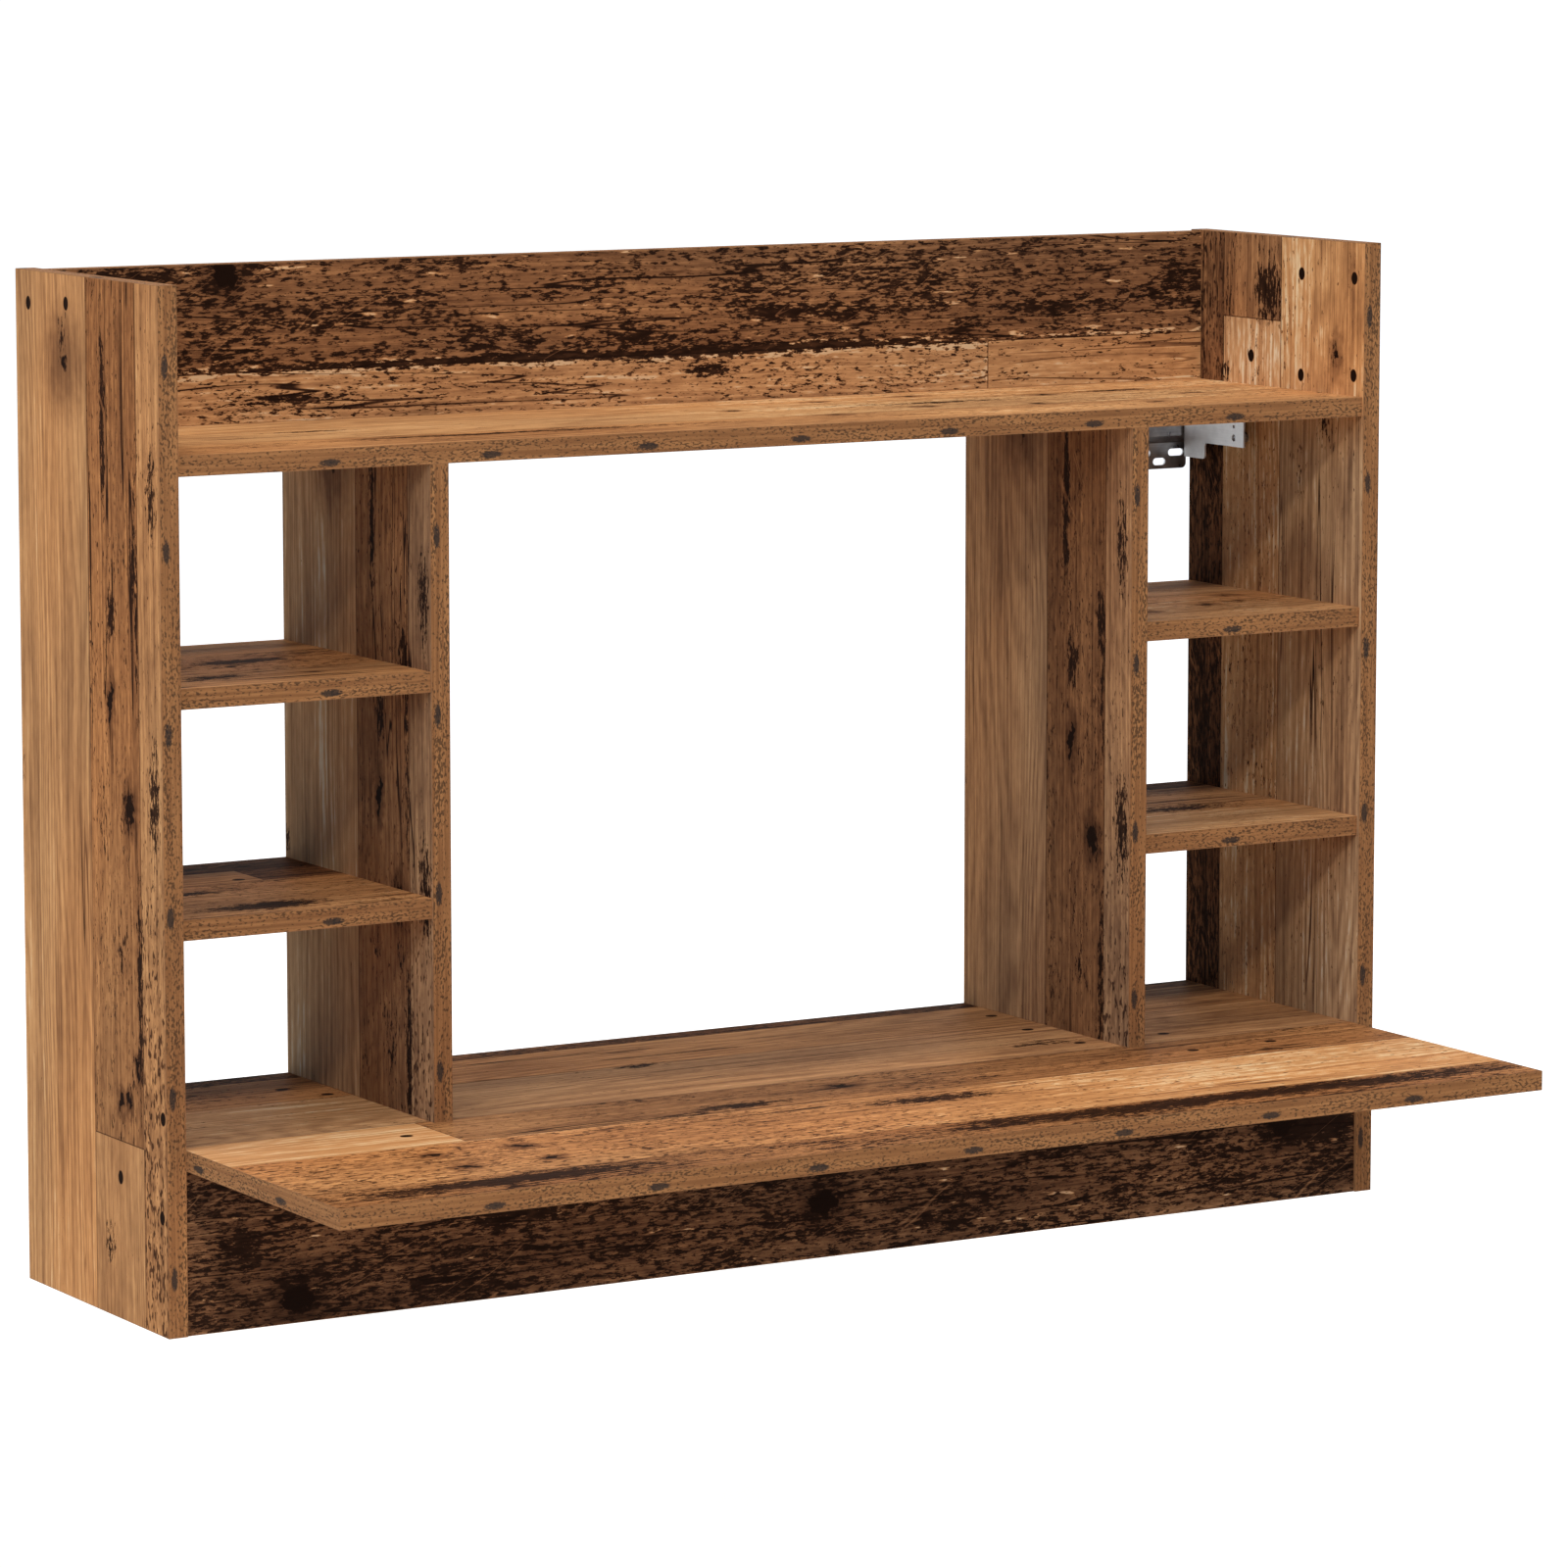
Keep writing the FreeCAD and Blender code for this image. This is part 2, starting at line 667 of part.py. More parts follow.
class Joinery:
    """The fasteners of the right half, and the holes that each board needs for them."""

    def __init__(self, boards):
        self.holes = {name: [] for name in boards}
        self.dowels = []
        self.bolts = []
        self.locks = []
        self.screws = []
        self.bolt = cam_bolt_master()
        self.lock = cam_lock_master()
        self.screw = divider_screw_master()

    def drill(self, board, start, direction, diameter, depth, sides=FASTENER_SIDES):
        """A hole for a fastener, with the fit's clearance at its wall."""
        name = f"{board}_hole_{len(self.holes[board])}"
        hole = rod(name, start, direction, diameter + D.bore_clearance * 2, depth, sides)
        self.holes[board].append(hole)

    def dowel(self, face_board, end_board, point, direction):
        """A dowel across the joint at the point, with the end board lying along the direction."""
        end_depth = D.dowel_length - D.dowel_face_depth
        self.drill(face_board, point, -direction, D.dowel_diameter, D.dowel_face_depth + D.bore_relief)
        self.drill(end_board, point, direction, D.dowel_diameter, end_depth + D.bore_relief)
        start = shifted(point, direction, -D.dowel_face_depth)
        name = f"dowel_{len(self.dowels)}"
        self.dowels.append(rod(name, start, direction, D.dowel_diameter, D.dowel_length))

    def cam(self, face_board, end_board, point, direction, hidden):
        """A cam joint: the bolt stands on the face board, and the lock is in the end board's hidden face."""
        self.drill(face_board, point, -direction, D.bolt_diameter, D.bolt_face_depth + D.bore_relief)
        self.drill(end_board, point, direction, D.bolt_diameter, D.cam_inset)
        centre = shifted(shifted(point, direction, D.cam_inset), hidden, D.board / 2)
        self.drill(end_board, centre, -hidden, D.cam_diameter, D.cam_depth + D.bore_relief, CAM_SIDES)
        number = len(self.bolts)
        along = FreeCAD.Rotation(Z_AXIS, direction)
        self.bolts.append(copy_of(self.bolt, f"cam_bolt_{number}", point, along))
        towards_bolt = -direction
        turn = FreeCAD.Rotation(towards_bolt, hidden.cross(towards_bolt), hidden, "ZXY")
        self.locks.append(copy_of(self.lock, f"cam_lock_{number}", centre, turn))

    def divider_screw(self, y):
        """A screw from under the desktop into the divider, with its head let in."""
        start = (divider_middle, y, desk_under)
        grip = D.divider_screw_length - D.board
        self.drill("desktop", start, Z_AXIS, D.divider_screw_head, D.divider_screw_sink)
        self.drill("desktop", start, Z_AXIS, D.divider_screw_diameter, D.board)
        self.drill("right_divider", (divider_middle, y, desk_top), Z_AXIS, D.divider_screw_diameter,
                   grip + D.bore_relief)
        name = f"divider_screw_{len(self.screws)}"
        self.screws.append(copy_of(self.screw, name, start, FreeCAD.Rotation()))


def join_boards(joints):
    """Every joint of the right half."""
    for board, low in (("top_shelf", under_shelf), ("desktop", desk_under)):
        z = low + D.board / 2
        for y in (-D.edge_inset, front + D.edge_inset):
            joints.cam("right_side_panel", board, (inner, y, z), -X_AXIS, -Z_AXIS)
        joints.dowel("right_side_panel", board, (inner, front / 2, z), -X_AXIS)
    apron_y = front + D.front_setback + D.board / 2
    back_panel_y = -(D.board / 2)
    uprights = (("front_apron", apron_y, bottom + apron_height / 2),
                ("upper_back_panel", back_panel_y, shelf_top + back_panel_height / 2))
    for board, y, z in uprights:
        joints.cam("right_side_panel", board, (inner, y, z), -X_AXIS, Y_AXIS)
        joints.dowel("right_side_panel", board, (inner, y, z + D.dowel_pitch), -X_AXIS)
    joints.dowel("desktop", "front_apron", (inner / 2, apron_y, desk_under), -Z_AXIS)
    joints.dowel("top_shelf", "upper_back_panel", (inner / 2, back_panel_y, shelf_top), Z_AXIS)
    ends = (("right_side_panel", inner, -X_AXIS), ("right_divider", divider_outer, X_AXIS))
    for y in (-D.shelf_joint_inset, front + D.shelf_joint_inset):
        joints.dowel("top_shelf", "right_divider", (divider_middle, y, under_shelf), -Z_AXIS)
        joints.divider_screw(y)
        for step, shelf in enumerate(("right_lower_shelf", "right_upper_shelf"), start=1):
            z = desk_top + bay_pitch * step - D.board / 2
            for face_board, x, direction in ends:
                joints.dowel(face_board, shelf, (x, y, z), direction)


def drilled_boards(blanks, joints):
    """Each board without its holes. A board in the middle gets the holes of both halves."""
    boards = []
    for name, (corner, sides) in blanks.items():
        blank = block(f"{name}_blank", corner, sides)
        holes = fuse(f"{name}_holes", joints.holes[name])
        if name.startswith("right_"):
            board = cut(name, blank, holes)
            boards += [board, mirror(name.replace("right_", "left_"), board)]
        else:
            both = group(f"{name}_all_holes", [holes, mirror(f"{name}_left_holes", holes)])
            boards.append(cut(name, blank, both))
    return boards


def fastener_groups(joints):
    """One group of separate solids for each kind of fastener, from both halves."""
    kinds = {
        "wooden_dowels": joints.dowels,
        "cam_bolts": joints.bolts,
        "cam_locks": joints.locks,
        "divider_screws": joints.screws,
    }
    groups = []
    for name, pieces in kinds.items():
        right = group(f"{name}_right", pieces)
        groups.append(group(name, [right, mirror(f"{name}_left", right)]))
    return groups


def hangers():
    """The pieces of both hangers."""
    right = [hanger_housing(), hanger_posts(), hanger_carriage(), hanger_hook(), wall_plate(), depth_screw(),
             height_screw()]
    return right + [mirror(piece.Label.replace("right_", "left_"), piece) for piece in right]


def check(pieces):
    """Stops if anything in the document failed, or a piece has no sound solid."""
    for thing in doc.Objects:
        if "Invalid" in thing.State or "Error" in thing.State:
            raise ValueError(f"{thing.Label} failed: {thing.State}")
    for piece in pieces:
        shape = piece.Shape
        if shape.isNull() or not shape.isValid() or not shape.Solids:
            raise ValueError(f"{piece.Label} has no sound solid")


blanks = board_blanks()
joints = Joinery(blanks)
join_boards(joints)
for y, z in (front_post, rear_post):
    joints.drill("right_side_panel", (inner, y, z), X_AXIS, D.post_diameter, D.post_depth + D.bore_relief)
pieces = drilled_boards(blanks, joints) + fastener_groups(joints) + hangers()
doc.recompute()
check(pieces)
os.makedirs("parts", exist_ok=True)
for piece in pieces:
    piece.Shape.exportStep(os.path.join("parts", f"{piece.Label}.step"))
    box = piece.Shape.BoundBox
    extents = f"{box.XLength:.1f} x {box.YLength:.1f} x {box.ZLength:.1f}"
    print(f"{piece.Label}: {len(piece.Shape.Solids)} solids, {extents}")
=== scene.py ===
"""The looks of a wall-mounted desk: old-wood laminate boards, steel hangers, soft studio light."""
import math
from dataclasses import dataclass, field, replace

import bpy
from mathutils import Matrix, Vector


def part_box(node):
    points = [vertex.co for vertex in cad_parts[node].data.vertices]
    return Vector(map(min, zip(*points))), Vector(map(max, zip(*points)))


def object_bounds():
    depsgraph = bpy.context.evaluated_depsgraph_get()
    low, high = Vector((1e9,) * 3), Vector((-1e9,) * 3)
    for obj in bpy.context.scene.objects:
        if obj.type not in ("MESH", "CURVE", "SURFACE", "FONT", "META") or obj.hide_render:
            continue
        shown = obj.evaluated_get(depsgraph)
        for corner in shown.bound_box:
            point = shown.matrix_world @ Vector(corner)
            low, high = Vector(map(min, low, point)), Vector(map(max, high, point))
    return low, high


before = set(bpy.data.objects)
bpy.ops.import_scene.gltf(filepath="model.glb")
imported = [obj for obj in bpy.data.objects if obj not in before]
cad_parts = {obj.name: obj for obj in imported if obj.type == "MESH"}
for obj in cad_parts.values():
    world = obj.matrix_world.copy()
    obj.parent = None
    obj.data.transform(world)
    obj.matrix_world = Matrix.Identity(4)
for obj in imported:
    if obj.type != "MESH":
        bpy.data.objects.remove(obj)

CAD_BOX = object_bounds()
X, Y, Z = range(3)


# Node trees


class Graph:
    """Shorthand for one node tree: each call adds a node and returns the socket to go on with."""

    def __init__(self, tree):
        self.tree = tree

    def node(self, kind, inputs=(), **settings):
        node = self.tree.nodes.new(kind)
        for name, value in settings.items():
            setattr(node, name, value)
        for name, value in dict(inputs).items():
            self.feed(node.inputs[name], value)
        return node

    def feed(self, socket, value):
        if isinstance(value, bpy.types.NodeSocket):
            self.tree.links.new(value, socket)
        else:
            socket.default_value = value

    def math(self, operation, *values):
        return self.node("ShaderNodeMath", enumerate(values), operation=operation).outputs[0]

    def add(self, a, b):
        return self.math("ADD", a, b)

    def subtract(self, a, b):
        return self.math("SUBTRACT", a, b)

    def times(self, a, b):
        return self.math("MULTIPLY", a, b)

    def times_add(self, a, b, c):
        return self.math("MULTIPLY_ADD", a, b, c)

    def size(self, value):
        return self.math("ABSOLUTE", value)

    def above(self, a, b):
        return self.math("GREATER_THAN", a, b)

    def smaller(self, a, b):
        return self.math("MINIMUM", a, b)

    def larger(self, a, b):
        return self.math("MAXIMUM", a, b)

    def middle(self, a, b, c):
        """The middle one of three numbers."""
        return self.larger(self.smaller(a, b), self.smaller(self.larger(a, b), c))

    def rise(self, value, low, high):
        """A smooth step from 0 at low to 1 at high; it falls where low is the greater."""
        inputs = {"Value": value, "From Min": low, "From Max": high}
        return self.node("ShaderNodeMapRange", inputs, interpolation_type="SMOOTHSTEP").outputs[0]

    def over(self, value, edge, blur):
        """A smooth step from 0 at an edge to 1 a little above it."""
        return self.rise(value, edge, self.add(edge, blur))

    def vary(self, base, noise, strength):
        """The base with a noise on it, which adds or takes up to half the strength."""
        return self.times_add(self.subtract(noise, 0.5), strength, base)

    def line(self, noise, outer, inner):
        """A thin line wherever a noise passes through its middle."""
        return self.rise(self.size(self.subtract(noise, 0.5)), outer, inner)

    def blend(self, share, a, b):
        """A number between a and b."""
        return self.node("ShaderNodeMix", {0: share, 2: a, 3: b}, data_type="FLOAT").outputs[0]

    def blend_colours(self, share, a, b, way="MIX"):
        """A colour between a and b."""
        return self.node("ShaderNodeMix", {0: share, 6: a, 7: b}, data_type="RGBA", blend_type=way).outputs[2]

    def tinted(self, colour, tint):
        return self.blend_colours(1.0, colour, tint, "MULTIPLY")

    def vector(self, x, y, z):
        return self.node("ShaderNodeCombineXYZ", {0: x, 1: y, 2: z}).outputs[0]

    def parts(self, vector):
        return self.node("ShaderNodeSeparateXYZ", {0: vector}).outputs

    def channels(self, colour):
        return self.node("ShaderNodeSeparateColor", {0: colour}).outputs

    def vectors(self, operation, *vectors):
        return self.node("ShaderNodeVectorMath", enumerate(vectors), operation=operation).outputs[0]

    def length(self, vector):
        return self.node("ShaderNodeVectorMath", {0: vector}, operation="LENGTH").outputs["Value"]

    def noise(self, vector, detail, roughness=0.5, scale=1.0):
        inputs = {"Vector": vector, "Scale": scale, "Detail": detail, "Roughness": roughness}
        return self.node("ShaderNodeTexNoise", inputs).outputs[0]

    def coordinates(self):
        return self.node("ShaderNodeTexCoord").outputs

    def bump(self, height, strength, distance):
        """A shader normal for a relief of the given depth in metres."""
        inputs = {"Strength": strength, "Distance": distance, "Height": height}
        return self.node("ShaderNodeBump", inputs).outputs[0]

    def ramp(self, value, stops, interpolation="LINEAR"):
        """A colour ramp through (place, colour) stops, as its colour and alpha."""
        node = self.node("ShaderNodeValToRGB", {0: value})
        node.color_ramp.interpolation = interpolation
        elements = node.color_ramp.elements
        while len(elements) < len(stops):
            elements.new(1)
        for element, (place, _) in zip(elements, stops):
            element.position = place
        for element, (_, colour) in zip(elements, stops):
            element.color = colour
        return node.outputs


def linear(red, green, blue):
    """A display colour from 0 to 255 as the linear one that shaders use."""
    shares = [value / 255 for value in (red, green, blue)]
    return tuple(s / 12.92 if s <= 0.04045 else ((s + 0.055) / 1.055) ** 2.4 for s in shares) + (1.0,)


def new_group(name, inputs, outputs):
    """A node group, its graph and its input sockets, all of them numbers."""
    tree = bpy.data.node_groups.new(name, "ShaderNodeTree")
    for socket in inputs:
        tree.interface.new_socket(socket, in_out="INPUT", socket_type="NodeSocketFloat")
    for socket in outputs:
        tree.interface.new_socket(socket, in_out="OUTPUT", socket_type="NodeSocketFloat")
    graph = Graph(tree)
    return tree, graph, graph.node("NodeGroupInput").outputs


def new_material(name):
    """A material, its graph and its shader."""
    material = bpy.data.materials.new(name)
    material.use_nodes = True
    shader = material.node_tree.nodes["Principled BSDF"]
    return material, Graph(material.node_tree), shader


@dataclass(frozen=True)
class Layer:
    """A noise drawn out along the grain: its features per metre each way, and an offset of its own."""

    along: float
    across: float
    offset: float
    detail: float
    roughness: float = 0.5

    def at(self, g, along, across, depth):
        """The noise at a place of the print."""
        place = g.vector(g.times(along, self.along), g.times(across, self.across), g.add(depth, self.offset))
        return g.noise(place, self.detail, self.roughness)


# Old wood: a lightness from black stain to pale chips, which one palette turns into colours
STAIN_LIGHTNESS = 0.05
CHIP_LIGHTNESS = 0.95
PALETTE = (
    (0.00, linear(18, 10, 7)),
    (0.15, linear(46, 28, 18)),
    (0.35, linear(99, 64, 41)),
    (0.55, linear(143, 97, 62)),
    (0.75, linear(187, 132, 84)),
    (0.90, linear(215, 157, 102)),
    (1.00, linear(236, 204, 158)),
)

# Tints that the palette is multiplied by
GREYISH = (0.94, 1.0, 1.06, 1.0)
REDDISH = (1.05, 0.98, 0.92, 1.0)
# A cool grey tint for planks of low warmth: real weathering on some planks, painted shade on the boards
# inside the bays.
WEATHERED_AND_SHADED = (0.88, 1.13, 1.52, 1.0)
UNCHANGED = (1.0, 1.0, 1.0, 1.0)
RUDDY = (1.05, 0.94, 0.82, 1.0)
HUES = ((0.35, GREYISH), (0.65, REDDISH))
WARMTHS = ((0.0, WEATHERED_AND_SHADED), (0.5, UNCHANGED), (1.0, RUDDY))

# The noises of the print
DRIFT = Layer(2.5, 7, 0.0, 2)
ARCHES = Layer(1.6, 13, 5.1, 1.5)
STRIPES = Layer(1.2, 340, 9.3, 2)
FIBRES = Layer(30, 1600, 12.7, 2)
VEINS = Layer(1.0, 110, 55.1, 2)
CLOUD = Layer(4.5, 13, 17.9, 3)
PATCHES = Layer(13, 42, 41.3, 2)
MOTTLE = Layer(80, 260, 45.7, 3)
DASHES = Layer(110, 400, 21.3, 4, 0.7)
GRIT = Layer(140, 350, 27.7, 1.5)
SPLITS = Layer(1.6, 48, 31.9, 2)
FLAKES = Layer(30, 190, 37.1, 3)
SCRATCHES = Layer(26, 9, 51.3, 1)
HUE = Layer(1.5, 6, 0.0, 2)

# Grain: strengths are differences of lightness
WAVE = 0.016
RING_LINES = 20
RING_EDGE = (0.10, 0.5)
RING_MIDDLE = 0.3
RING_STRENGTH = 0.20
STRIPE_STRENGTH = 0.48
STRIPES_BY_FIGURE = -0.14
FIBRE_STRENGTH = 0.34
CLOUD_STRENGTH = 0.45
VEIN_LINE = (0.05, 0.008)
VEIN_MIDDLE = 0.25
VEIN_STRENGTH = -0.20
MOTTLE_STRENGTH = 0.18
MOTTLE_BY_SPECKLE = 0.45

# Chips, grit and stains: each shows where its noise is over an edge, which the plank's value lowers
CHIP_EDGE = 0.80
CHIP_EDGE_BY_CHIPS = -0.15
CHIP_BLUR = 0.06
GRIT_EDGE = 0.82
GRIT_EDGE_BY_SPECKLE = -0.30
GRIT_EDGE_BY_CLOUD = -0.22
GRIT_BLUR = 0.08
GRIT_SHADE = -0.60
STAIN_PATCHES = 0.28
STAIN_DASHES = 0.85
STAIN_EDGE = 0.77
STAIN_EDGE_BY_STAIN = -0.36
STAIN_BLUR = 0.07
STAIN_COVER = 0.92
STAIN_DARKEST = -0.05
STAIN_MOTTLE = 0.30

# Cracks and scratches: lines that show in the more stained planks
CRACK_LINE = (0.010, 0.003)
CRACKS_BY_STAIN = 0.5
CRACKED = (0.60, 0.74)
CRACK_COVER = 0.85
SCRATCH_SLANT = 1.7
SCRATCH_LINE = (0.007, 0.002)
SCRATCHES_BY_STAIN = 0.35
SCRATCHED = (0.68, 0.78)
SCRATCH_COVER = 0.30

# Relief
STRIPE_RELIEF = 0.4
STAIN_RELIEF = -0.5


def old_wood_group():
    """The print at one place of a plank: its layers of grain, chips, grit, stain, cracks and scratches."""
    inputs = ("Along", "Across", "Depth", "Tone", "Stain", "Speckle", "Figure", "Chips", "Blotch")
    tree, g, given = new_group("old_wood", inputs, ("Lightness", "Height"))
    along, across, depth = given["Along"], given["Across"], given["Depth"]
    stain, speckle, figure = given["Stain"], given["Speckle"], given["Figure"]

    def noise(layer, sideways=across):
        return layer.at(g, along, sideways, depth)

    # Grain
    drift = noise(DRIFT)
    wavy = g.vary(across, drift, WAVE)
    rings = g.rise(g.math("PINGPONG", g.times(noise(ARCHES, wavy), RING_LINES), 0.5), *RING_EDGE)
    stripes = noise(STRIPES, wavy)
    fibres = noise(FIBRES, wavy)
    cloud = noise(CLOUD)
    mottle = noise(MOTTLE)
    light = g.vary(given["Tone"], stripes, g.times_add(figure, STRIPES_BY_FIGURE, STRIPE_STRENGTH))
    light = g.vary(light, fibres, FIBRE_STRENGTH)
    light = g.vary(light, cloud, CLOUD_STRENGTH)
    veins = g.line(noise(VEINS, wavy), *VEIN_LINE)
    vein_shade = g.times(g.subtract(veins, VEIN_MIDDLE), figure)
    light = g.times_add(vein_shade, VEIN_STRENGTH, light)
    light = g.vary(light, mottle, g.times_add(speckle, MOTTLE_BY_SPECKLE, MOTTLE_STRENGTH))
    ring_shade = g.times(g.subtract(rings, RING_MIDDLE), figure)
    light = g.subtract(light, g.times(ring_shade, RING_STRENGTH))

    # Pale chips and dark grit
    chip_edge = g.times_add(given["Chips"], CHIP_EDGE_BY_CHIPS, CHIP_EDGE)
    chips = g.over(noise(FLAKES, wavy), chip_edge, CHIP_BLUR)
    light = g.blend(chips, light, CHIP_LIGHTNESS)
    grit_edge = g.vary(g.times_add(speckle, GRIT_EDGE_BY_SPECKLE, GRIT_EDGE), cloud, GRIT_EDGE_BY_CLOUD)
    grit = g.over(noise(GRIT), grit_edge, GRIT_BLUR)
    light = g.times(light, g.times_add(grit, GRIT_SHADE, 1.0))

    # Stains
    patches = noise(PATCHES)
    dashes = g.times(noise(DASHES, wavy), STAIN_DASHES)
    stain_noise = g.add(g.times_add(patches, STAIN_PATCHES, given["Blotch"]), dashes)
    stains = g.over(stain_noise, g.times_add(stain, STAIN_EDGE_BY_STAIN, STAIN_EDGE), STAIN_BLUR)
    stain_lightness = g.times_add(mottle, STAIN_MOTTLE, STAIN_DARKEST)
    light = g.blend(g.times(stains, STAIN_COVER), light, stain_lightness)

    # Cracks along the grain and scratches aslant to it
    cracked = g.rise(g.times_add(stain, CRACKS_BY_STAIN, drift), *CRACKED)
    cracks = g.times(g.line(noise(SPLITS, wavy), *CRACK_LINE), cracked)
    light = g.blend(g.times(cracks, CRACK_COVER), light, STAIN_LIGHTNESS)
    slant = g.times_add(across, SCRATCH_SLANT, along)
    scratched = g.rise(g.times_add(stain, SCRATCHES_BY_STAIN, patches), *SCRATCHED)
    scratches = g.times(g.line(SCRATCHES.at(g, slant, across, depth), *SCRATCH_LINE), scratched)
    light = g.blend(g.times(scratches, SCRATCH_COVER), light, CHIP_LIGHTNESS)

    height = g.times_add(g.add(stains, cracks), STAIN_RELIEF, g.times_add(stripes, STRIPE_RELIEF, fibres))
    g.node("NodeGroupOutput", {"Lightness": light, "Height": height})
    return tree


# Edge bands
BAND_GRAIN = Layer(9, 500, 1.3, 3)
BAND_CLOUD = Layer(14, 130, 4.9, 2)
BAND_GRIT = Layer(320, 700, 8.7, 2)
BAND_WOBBLE = Layer(420, 800, 14.1, 2)
BAND_TONE = 0.59
BAND_GRAIN_STRENGTH = 0.40
BAND_CLOUD_STRENGTH = 0.20
SPECK_CLOUD = 0.34
SPECK_GRIT = 0.76
SPECK_EDGE = (0.560, 0.645)
SPECK_COVER = 0.75
SPECK_COLOUR = linear(66, 49, 38)
SPOT_REPEAT = 0.130
SPOT_LENGTH = 0.0085
SPOT_WIDTH = 0.0026
SPOT_ACROSS = 0.0048
SPOT_WOBBLE = 4.2
SPOT_EDGE = (1.25, 0.85)
SPOT_COVER = 0.85
SPOT_COLOUR = linear(46, 44, 43)
BAND_RELIEF = -0.4


def edge_band_group():
    """The band glued to a board's edges: brown grain, small specks, and a grey spot that repeats."""
    outputs = ("Lightness", "Specks", "Spot", "Height")
    tree, g, given = new_group("edge_band", ("Along", "Across", "Depth"), outputs)
    place = given["Along"], given["Across"], given["Depth"]
    along, across, _ = place
    grain = BAND_GRAIN.at(g, *place)
    cloud = BAND_CLOUD.at(g, *place)
    speck_noise = g.times_add(cloud, SPECK_CLOUD, g.times(BAND_GRIT.at(g, *place), SPECK_GRIT))
    specks = g.rise(speck_noise, *SPECK_EDGE)
    spot_along = g.times(g.math("PINGPONG", along, SPOT_REPEAT / 2), 1 / SPOT_LENGTH)
    spot_across = g.times(g.subtract(across, SPOT_ACROSS), 1 / SPOT_WIDTH)
    wobble = g.vary(0.0, BAND_WOBBLE.at(g, *place), SPOT_WOBBLE)
    spot = g.rise(g.length(g.vector(spot_along, spot_across, wobble)), *SPOT_EDGE)
    light = g.vary(BAND_TONE, grain, BAND_GRAIN_STRENGTH)
    light = g.vary(light, cloud, BAND_CLOUD_STRENGTH)
    height = g.times_add(g.larger(specks, spot), BAND_RELIEF, grain)
    g.node("NodeGroupOutput", {"Lightness": light, "Specks": specks, "Spot": spot, "Height": height})
    return tree


# Prints of the boards


@dataclass
class Plank:
    """One plank of the print, each value from 0 to 1."""

    tone: float
    stain: float = 0.15
    speckle: float = 0.2
    figure: float = 0.5
    chips: float = 0.0
    warmth: float = 0.5


@dataclass
class Row:
    """Planks in one line: a width across the board, and past a butt joint another plank.

    With a fade there is no joint: the plank's look changes over that length to either side.
    """

    width: float
    plank: Plank
    joint: float = None
    beyond: Plank = None
    fade: float = 0.0


@dataclass
class Mark:
    """A nail, knot, blotch or pale patch: its centre and half sizes along and across the grain, in metres."""

    along: float
    across: float
    length: float
    width: float
    strength: float = 1.0


@dataclass
class Print:
    """The print of a board: its rows from the back or the top, and the marks in it."""

    rows: list
    nails: list = field(default_factory=list)
    knots: list = field(default_factory=list)
    blotches: list = field(default_factory=list)
    pale_patches: list = field(default_factory=list)


UPRIGHT_PRINT = Print(
    rows=[
        Row(0.120, Plank(0.76, stain=0.05, speckle=0.05, figure=0.5)),
        Row(0.082, Plank(0.74, stain=0.15, speckle=0.2, figure=0.3), joint=-0.432,
            beyond=Plank(0.60, stain=0.34, speckle=0.5, figure=0.2, warmth=0.8)),
        Row(0.038, Plank(0.70, stain=0.24, speckle=1.0, figure=0.1), joint=-0.25,
            beyond=Plank(0.68, stain=0.24, speckle=0.4, figure=0.2), fade=0.15),
    ],
    nails=[(0.163, 0.022), (0.166, 0.087), (-0.459, 0.162), (-0.405, 0.234), (-0.477, 0.231)],
    knots=[
        Mark(-0.189, 0.185, 0.012, 0.007),
        Mark(-0.115, 0.155, 0.016, 0.004),
        Mark(-0.403, 0.165, 0.006, 0.005),
        Mark(-0.403, 0.179, 0.005, 0.004),
        Mark(-0.377, 0.194, 0.007, 0.004),
        Mark(0.124, 0.082, 0.030, 0.026, 0.3),
    ],
    blotches=[
        Mark(0.140, 0.080, 0.060, 0.026, 0.8),
        Mark(-0.016, 0.196, 0.040, 0.010),
        Mark(-0.055, 0.157, 0.030, 0.012),
        Mark(-0.189, 0.185, 0.030, 0.018, 0.8),
        Mark(-0.171, 0.003, 0.035, 0.008),
        Mark(-0.294, 0.170, 0.080, 0.030, 0.5),
        Mark(0.043, 0.226, 0.060, 0.014),
        Mark(-0.177, 0.226, 0.070, 0.016),
        Mark(-0.510, 0.145, 0.030, 0.018),
        Mark(-0.060, 0.199, 0.200, 0.007, 0.7),
        Mark(-0.320, 0.199, 0.120, 0.008),
        Mark(0.100, 0.146, 0.120, 0.006),
    ],
)
